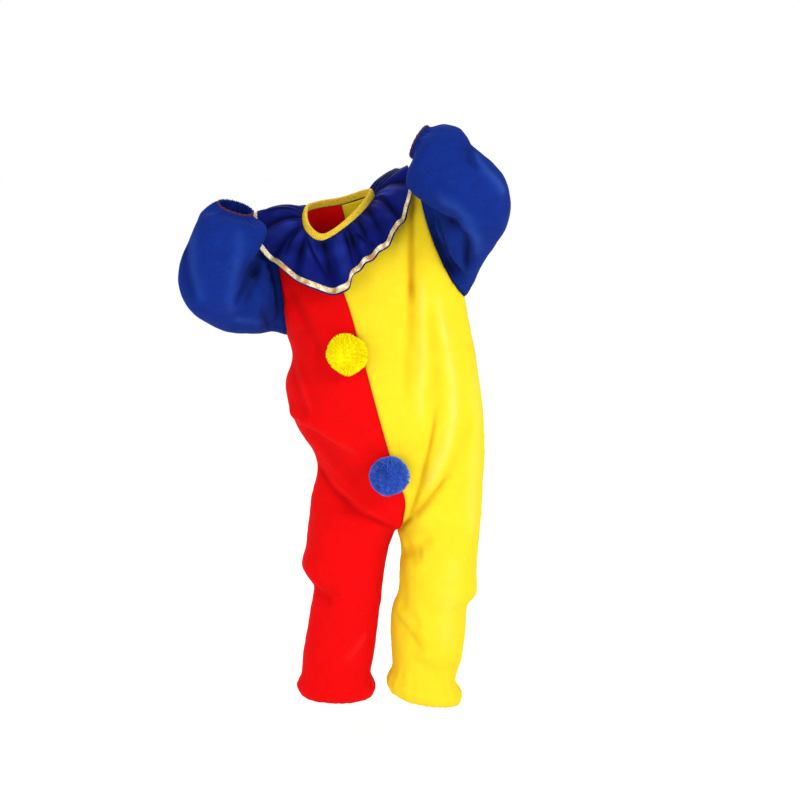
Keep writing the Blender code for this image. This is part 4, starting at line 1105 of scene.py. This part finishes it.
# %% Relief of every piece
extra = []
for cloth in cloths:
    share = np.linspace(0, 1, cloth.grid.shape[1])[None, :]
    up = run_from(cloth.grid, 0)
    down = up[-1:] - up
    if cloth.closed:
        seam = up
        crown = 0.35 + 0.65 * np.sin(math.pi * share) ** 2
        relief = gathered(HEAD_GATHERS, share, up) * crown + gathered(WRIST_GATHERS, share, down)
    else:
        across = run_from(cloth.grid, 1)
        top = down + NO_SEAM * (share > SHOULDER_COLUMNS / PANEL_COLUMNS)
        seam = np.minimum(np.minimum(across, across[:, -1:] - across), top)
        relief = gathered(ANKLE_GATHERS, share, up)
    extra.append(np.stack([relief, bell(seam, 0, GROOVE_WIDTH), bell(seam, 0, PUCKER_WIDTH)], axis=2))
relief, groove, pucker = stacked(extra).T
depth += relief * (0.75 + 0.6 * cloth_noise(points, 18.0, seed=5.5))
depth += 0.9 * pucker * cloth_noise(points, 11.0, seed=9.2) - groove
# Painted shade along the seam grooves joins that of the creases; ridges keep their painted highlight.
painted_shading = np.clip(np.maximum(shared(painted_shading, group), 0.35 * groove + np.minimum(painted_shading, 0)), -1, 1)
placed = points + normals * shared(depth, group)[:, None]
print("gathers at a wrist:", WRIST_GATHERS[0].count, "and at a panel's ankle:", ANKLE_GATHERS[0].count)

# %% [markdown]
# ## From a grid to cloth
#
# Each piece starts as a flat grid, as cloth does, and its points are moved to their places. The wall
# is then given its real thickness inwards by a Solidify modifier, which leaves the outside where it
# is. The grid's own map keeps the run of the cloth for materials that follow it.


# %% Cloth piece
def cloth_piece(name, grid, painted_shading, material, thickness, closed, flip):
    """A wall of cloth whose outside passes through the grid of points, in millimetres.

    Each point's painted shading goes from -1, a painted highlight on a sharp ridge, to 1, painted
    shade deep in a crease, and its colour with it.
    """
    rows, columns = grid.shape[:2]
    mesh = bmesh.new()
    mesh.loops.layers.uv.new("run of the cloth")
    shade = mesh.verts.layers.float.new("painted_shading")
    bmesh.ops.create_grid(mesh, x_segments=columns - 1, y_segments=rows - 1, size=1, calc_uvs=True)
    for vert in mesh.verts:
        at = round((vert.co.y + 1) / 2 * (rows - 1)), round((vert.co.x + 1) / 2 * (columns - 1))
        vert.co = grid[at] * MM
        vert[shade] = painted_shading[at]
    if flip:
        bmesh.ops.reverse_faces(mesh, faces=mesh.faces)
    if closed:
        bmesh.ops.remove_doubles(mesh, verts=mesh.verts, dist=1e-5)
    for face in mesh.faces:
        face.smooth = True
    piece = shown(name, mesh, material)
    wall = piece.modifiers.new("wall", "SOLIDIFY")
    wall.thickness = thickness * MM
    wall.offset = -1
    wall.use_rim = True
    return piece


# %% A sheet of cloth on the suit
NARROWEST = 0.0102  # a sheet's cut is printed at least this wide, in metres; a sheet is declared at least this wide, in metres


def cut_size(grid):
    """(width, length, area) of the flat cut, in metres and square metres."""
    width = run_from(grid, 1)[:, -1].max() * MM
    length = run_from(grid, 0)[-1].max() * MM
    a, b, c, d = grid[:-1, :-1], grid[:-1, 1:], grid[1:, 1:], grid[1:, :-1]
    halves = (np.linalg.norm(np.cross(*sides), axis=2) for sides in ((b - a, c - a), (c - a, d - a)))
    return width, length, sum(halves).sum() / 2 * MM * MM


def dress(node_name, held, grid, painted_shading, material, thickness, closed=True, flip=True):
    """Cloth that rides on the suit and stands for its solid; its cut size is printed."""
    piece = cloth_piece(f"cloth_{node_name}", grid, painted_shading, material, thickness, closed, flip)
    width, length, area = cut_size(grid)
    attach(piece, "root")
    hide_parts(node_name)
    width, length = max(width, NARROWEST), max(length, NARROWEST)
    print(f"{piece.name}: cut {width * 1000:.0f} by {length * 1000:.0f} mm, {area:.4f} square metres")


# %% Body and sleeves
FLEECE_THICKNESS = 1.8
at = 0
for cloth in cloths:
    rows, columns = cloth.grid.shape[:2]
    mine = slice(at, at + rows * columns)
    at = mine.stop
    grids[cloth.name] = placed[mine].reshape(rows, columns, 3)
    # This piece's painted shade and painted highlights.
    piece_painted_shading = painted_shading[mine].reshape(rows, columns)
    held = "gathered" if cloth.closed else "draped"
    finish = (cloth.material, FLEECE_THICKNESS, cloth.closed, cloth.flip)
    dress(cloth.name, held, grids[cloth.name], piece_painted_shading, *finish)

# %% [markdown]
# ## Ruffle collar
#
# The collar is a long strip of thin satin, gathered into the neckline so that it falls in flutes. A
# simulation would let it fall its own way. Here its edge is set out by spokes and each flute by its
# place, and small gathers fan out from the neck and die away towards the edge.

# %% Collar table
# A spoke leaves the neckline at a place counted in its stations and ends at the collar's edge.
Spoke = namedtuple("Spoke", "name neck x y z")
COLLAR = [Spoke(*row) for row in (
    ("back", 4.0, 14, 88, -28),
    ("back right", 4.6, -28, 91, -38),
    ("right back", 5.15, -66, 76, -28),
    ("right blade", 5.6, -94, 42, -18),
    ("right shoulder", 6.05, -106, -4, -15),
    ("right", 6.55, -101, -42, -52),
    ("right front", 7.05, -72, -60, -78),
    ("front right", 7.5, -38, -84, -100),
    ("front", 8.0, -4, -94, -108),
    ("over the fold", 8.38, 18, -94, -104),
    ("behind the fold", 8.62, 26, -90, -82),
    ("front left", 9.0, 46, -89, -67),
    ("left front", 9.45, 67, -80, -46),
    ("left chest", 9.8, 83, -64, -23),
    ("left", 10.1, 96, -40, 8),
    ("left shoulder", 10.5, 97, -4, 44),
    ("left back", 11.0, 78, 38, 42),
    ("back left", 11.5, 52, 70, 6),
    ("back again", 12.0, 14, 88, -28),
)]
# Flutes are valleys of the collar, at places counted in spokes, with a half width to match.
Flute = namedtuple("Flute", "name place depth width")
FLUTES = [Flute(*row) for row in (
    ("back", 0.75, 9, 0.22),
    ("back right", 1.7, 12, 0.26),
    ("right blade", 2.7, 11, 0.24),
    ("right shoulder", 3.65, 10, 0.24),
    ("right", 4.6, 11, 0.26),
    ("right front", 5.6, 12, 0.24),
    ("front right", 6.55, 9, 0.26),
    ("front", 8.0, 11, 0.42),
    ("behind the fold", 10.2, 10, 0.35),
    ("front left", 11.05, 6, 0.26),
    ("left front", 11.9, 10, 0.34),
    ("left", 13.2, 9, 0.26),
    ("left shoulder", 14.55, 10, 0.26),
    ("left back", 15.6, 9, 0.3),
    ("back left", 16.6, 12, 0.26),
    ("back edge", 17.45, 8, 0.2),
)]
# A pinch is a sharp crease between two places counted in spokes, one at the neck and one at the
# edge. It starts and ends at a share of the way out.
Pinch = namedtuple("Pinch", "neck edge start end depth")
PINCHES = [Pinch(*row) for row in (
    (0.30, 0.45, 0.05, 0.80, 1.6),
    (2.30, 2.10, 0.10, 0.90, 1.8),
    (4.00, 4.25, 0.05, 0.85, 1.8),
    (5.75, 6.15, 0.10, 0.85, 1.8),
    (6.41, 8.37, 0.10, 0.95, 2.4),
    (9.75, 9.90, 0.05, 1.05, 2.2),
    (9.81, 11.59, 0.35, 1.10, 2.0),
    (12.05, 11.70, 0.05, 0.75, 1.8),
    (13.55, 12.90, 0.10, 0.90, 1.8),
    (15.00, 15.20, 0.05, 0.90, 1.8),
    (16.10, 15.90, 0.10, 0.80, 1.6),
)]
RIDGE = 3.5  # how far the collar stands up between its valleys
COLLAR_LIFT = 1.0  # between the body and the collar, at the neck
TRIM_WIDTH = 6.5
TRIM_INSET = 1.5  # from the collar's edge
COLLAR_WIDTH = 75.0
print("collar:", len(FLUTES), "flutes and", len(PINCHES), "pinches")

# %% Collar grid
FINE_STEPS = 17  # collar columns to each column of the neckline
NECK_COLUMNS = 7  # neckline columns to a quarter
FINE_ROWS = 36
SATIN_THICKNESS = 1.2
NECK_GATHERS = 46
COLLAR_OFF = 2.0  # the collar starts this far outside the neckline
COLLAR_ARCH = 14.0  # how far the collar's run is pulled up between the neck and the edge
PINCH_WIDTH = 0.1


def neck_ring():
    """The neckline of the four panels as one closed line, from the back by the right."""
    quarters = [neck_line(start, start + 2, NECK_COLUMNS) for start in (4, 6, 0, 2)]
    return np.concatenate([quarter[:-1] for quarter in quarters] + [quarters[-1][-1:]])


def divided(line):
    """The same closed line with every step cut into fine equal parts, smoothly."""
    at = np.arange((len(line) - 1) * FINE_STEPS + 1) / FINE_STEPS
    return through(line[:-1], at, closed=True)


# %% Run of the collar
ring = neck_ring()
neck = divided(ring)
out = ring - np.array(NECK_TOWARDS)
out[:, 2] = 0
out = divided(unit(out))
spoke = np.interp(np.linspace(4, 12, len(neck)), [row.neck for row in COLLAR], np.arange(len(COLLAR)))
inner = neck + out * COLLAR_OFF + np.array([0, 0, 1]) * (SATIN_THICKNESS + COLLAR_LIFT)
outer = through(positions(COLLAR), spoke)
rise = np.array([0, 0, COLLAR_ARCH])
rows = np.linspace(0, 1, FINE_ROWS)
base = []
for start, end in zip(inner, outer):
    run = end - start
    base.append(bezier(start, start + run * 0.3 + rise, start + run * 0.72 + rise * 0.6, end, rows))
base = np.array(base).transpose(1, 0, 2)
print("collar rows and columns:", base.shape[:2])

# %% Flutes, pinches and gathers of the collar
wave = np.full(len(spoke), RIDGE)
valley = np.zeros(len(spoke))
for flute in FLUTES:
    wave = wave - flute.depth * bell(spoke, flute.place, flute.width)
    valley = np.maximum(valley, bell(spoke, flute.place, flute.width * 0.5))
wave = np.repeat(wave[None], FINE_ROWS, axis=0)
valley = np.repeat(valley[None], FINE_ROWS, axis=0)
for pinch in PINCHES:
    off = (spoke[None] - (pinch.neck + (pinch.edge - pinch.neck) * rows)[:, None]) / PINCH_WIDTH
    ends = ease(np.clip((rows - pinch.start) / 0.15, 0, 1)) * ease(np.clip((pinch.end - rows) / 0.25, 0, 1))
    sharp = np.exp(-np.abs(off) ** 1.5) * ends[:, None]
    wave -= pinch.depth * sharp
    valley = np.maximum(valley, 1.2 * sharp)
swell = np.minimum(1, (rows * 1.05) ** 0.85)[:, None]
around = np.linspace(0, 1, len(spoke))
pleat = np.cos(2 * math.pi * NECK_GATHERS * around + 1.1 * np.sin(2 * math.pi * 5 * around))
gather = pleat * (np.minimum(rows / 0.12, 1) * np.exp(-(rows / 0.42)))[:, None]
ripple = 0.9 * cloth_noise(base, 16.0, seed=2.2) * np.minimum(rows / 0.2, 1)[:, None]
collar = base - facing(base, True, False) * (swell * wave + gather + ripple)[..., None]
collar[:, -1] = collar[:, 0]
fan = (np.minimum(rows / 0.15, 1) * np.minimum((1.02 - rows) / 0.5, 1))[:, None]
# Painted shade in the flute valleys and pinches, and between the gathers near the neck.
piece_painted_shading = 0.8 * fan * valley + 0.35 * bell(rows, 0, 0.1)[:, None] * (0.5 - 0.5 * pleat)
# Painted sheen on the flute ridges, and random patches painted paler and darker.
ridges = np.clip(wave / RIDGE, 0, 1) ** 3 * (1 - valley)
piece_painted_shading -= fan * (0.35 * ridges + 0.5 * cloth_noise(base, 20.0, seed=4.4))
dress("ruffle_collar", "gathered", collar, piece_painted_shading, navy_satin, SATIN_THICKNESS)

# %% [markdown]
# ## Trim and neck binding
#
# The ribbon lies on the collar a millimetre and a half from its edge and follows every flute. The
# binding is a strip folded over the neck edge, with both leaves modelled. Both could be swept along
# curves of their own, but they are taken from the rows that they lie on, so they can't drift away.

# %% Ribbon
TRIM_ROWS = 6
RIBBON_THICKNESS = 0.6
RIBBON_GAP = 0.3
trim_start = (1 - (TRIM_INSET + TRIM_WIDTH) / COLLAR_WIDTH) * (FINE_ROWS - 1)
trim_end = (1 - TRIM_INSET / COLLAR_WIDTH) * (FINE_ROWS - 1)
trim_rows = np.linspace(trim_start, trim_end, TRIM_ROWS)
trim = through(collar - facing(collar, True, False) * (RIBBON_THICKNESS + RIBBON_GAP), trim_rows)
# Painted reflections along the ribbon: golden-brown patches, and pale glints where the noise is low.
glint = 0.15 + 1.3 * cloth_noise(trim, 9.0, seed=6.6)
dress("ruffle_trim", "gathered", trim, glint, gold_lame, RIBBON_THICKNESS)

# %% Binding
BINDING_WIDTH = 2.4
LEAF_THICKNESS = 1.0
LEAF_START = 0.8  # above the neckline
FOLD_DROP = 0.7  # from the top of the band to where its folded edge starts to turn
RIBS = 96
half = BINDING_WIDTH / 2
fold_start = NECKBAND_HEIGHT - FOLD_DROP
leaf_up = np.linspace(LEAF_START, fold_start, 7)
profile = [(half + 0.35 * math.sin(math.pi * h / NECKBAND_HEIGHT), h) for h in leaf_up]
turn = np.linspace(0, math.pi, 9)[1:-1]
profile += [(half * math.cos(t), fold_start + half * math.sin(t)) for t in turn]
profile += [(-half, h) for h in leaf_up[::-1]]
lean = divided(unit(np.array(NECK_TOWARDS) - ring))
rib = 0.18 * np.cos(2 * math.pi * RIBS * around)
binding = [neck + out * (across + np.sign(across) * rib)[:, None] + lean * high for across, high in profile]
# Painted shade at the foot of the binding, where it meets the collar.
foot = 0.9 * bell(np.array(profile)[:, 1], LEAF_START, 0.9)
piece_painted_shading = np.repeat(foot[:, None], len(neck), axis=1)
dress("neck_binding", "folded", np.array(binding), piece_painted_shading, yellow_rib, LEAF_THICKNESS)

# %% [markdown]
# ## Pompoms
#
# A pompom is hundreds of short lengths of yarn, tied at the middle and trimmed to a ball. A core
# fills it, coloured as painted shade, and thousands of tapered strands stand out of it, each leaning
# a little its own way, with painted shade at their roots. A strand has only three sides, because so
# many of them must stay light. The side against the suit is pressed flat.

# %% A strand of yarn
Pompom = namedtuple("Pompom", "name middle material")
POMPOMS = (
    Pompom("pompom_yellow", (14, -89.4, -184), yellow_yarn),
    Pompom("pompom_blue", (67, -90.4, -339), blue_yarn),
)
CORE_RADIUS = 20.5
# Share of the tip colour in the core, which is painted shade.
CORE_PAINTED_SHADE = 0.15
STRANDS = 2600
STRAND_START = 17.0
STRAND_WIDTH = 0.85
POMPOM_SIZE = 27.4
FLAT_BACK = 11.0  # strands that reach further back than this are pressed together
FLAT_SHARE = 0.55
SAG = 1.0
GOLDEN_ANGLE = math.pi * (3 - math.sqrt(5))


def strand_lie(k, middle):
    """(direction, sideways bend, length and tone) of one strand of a pompom."""
    height = 1 - 2 * (k + 0.5) / STRANDS
    level = math.sqrt(1 - height * height)
    aim = Vector((level * math.cos(GOLDEN_ANGLE * k), level * math.sin(GOLDEN_ANGLE * k), height))
    sway = Vector((math.sin(k * 1.7), math.cos(k * 2.9), math.sin(k * 0.9)))
    sway = (sway - aim * sway.dot(aim)) * (1.0 + 1.2 * noise.noise(aim * 3 + Vector((k % 7, 0, 0))))
    reach = POMPOM_SIZE * (0.93 + 0.06 * math.sin(k * 2.4) + 0.09 * noise.noise(aim * 1.7 + middle))
    tone = 0.6 + 0.25 * math.sin(k * 12.9898) + 0.7 * noise.noise(aim * 2.6 + middle)
    return aim, sway * 1.6, reach, tone


# %% Both pompoms
for pompom in POMPOMS:
    middle = Vector(pompom.middle)
    mesh = bmesh.new()
    shade = mesh.verts.layers.float.new("shade")
    bmesh.ops.create_icosphere(mesh, subdivisions=4, radius=CORE_RADIUS)
    for vert in mesh.verts:
        vert.co *= 1 + 0.06 * noise.noise(vert.co / 3)
        # The core takes nearly the root colour: painted shade inside the ball.
        vert[shade] = CORE_PAINTED_SHADE
    cone = {"segments": 3, "radius1": STRAND_WIDTH, "radius2": STRAND_WIDTH * 0.35, "depth": 1}
    for k in range(STRANDS):
        aim, sway, reach, tone = strand_lie(k, middle)
        turn_to = aim.to_track_quat("Z", "Y")
        for vert in bmesh.ops.create_cone(mesh, cap_ends=True, **cone)["verts"]:
            tip = vert.co.z > 0
            across = turn_to @ Vector((vert.co.x, vert.co.y, 0))
            vert.co = across + aim * (reach if tip else STRAND_START) + (sway if tip else Vector())
            # Painted shade at the roots; the tips vary at random.
            vert[shade] = 0.25 + 0.75 * tone if tip else 0.05
    for vert in mesh.verts:
        if vert.co.y > FLAT_BACK:
            vert.co.y = FLAT_BACK + (vert.co.y - FLAT_BACK) * FLAT_SHARE
        vert.co = (vert.co + middle - Vector((0, 0, SAG))) * MM
    piece = shown(f"yarn_{pompom.name}", mesh, pompom.material)
    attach(piece, "root")
    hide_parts(pompom.name)
    triangles = sum(len(face.vertices) - 2 for face in piece.data.polygons)
    print(piece.name, "strands:", STRANDS, "triangles:", triangles)

# %% [markdown]
# ## Overlock at the cuffs
#
# The raw edge at each wrist is bound with maroon overlock thread. At this size the loops of the
# thread can't be told apart, so each stitch is two short bars that cross over the edge, made by a
# loop that walks round it.

# %% Cuff stitches
STITCH_STEP = 2.6
STITCH_LENGTH = 3.4
STITCH_RADIUS = 0.42
STITCH_LIFT = 0.25
STITCH_LEAN = 0.55
STITCH_UP = 0.42  # how far up its length a stitch is centred from the edge
for side in ("right", "left"):
    above, edge = grids[f"sleeve_{side}"][-2:]
    count = int(np.linalg.norm(np.diff(edge, axis=0), axis=1).sum() / STITCH_STEP)
    middle = edge.mean(axis=0)
    mesh = bmesh.new()
    bar = {"segments": 6, "radius1": STITCH_RADIUS, "radius2": STITCH_RADIUS, "depth": STITCH_LENGTH}
    for end, top in zip(evenly(edge, count)[:-1], evenly(above, count)[:-1]):
        inward = unit(top - end)
        away = unit(end - middle - inward * np.dot(end - middle, inward))
        side_way = np.cross(inward, away)
        centre = Vector(end + inward * (STITCH_LENGTH * STITCH_UP) + away * STITCH_LIFT)
        for lean_by in (STITCH_LEAN, -STITCH_LEAN):
            turn_to = Vector(unit(inward + side_way * lean_by)).to_track_quat("Z", "Y")
            for vert in bmesh.ops.create_cone(mesh, cap_ends=True, **bar)["verts"]:
                vert.co = (turn_to @ vert.co + centre) * MM
    for face in mesh.faces:
        face.smooth = True
    piece = shown(f"overlock_{side}", mesh, maroon_thread)
    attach(piece, "root")
    print(piece.name, "stitches:", count)
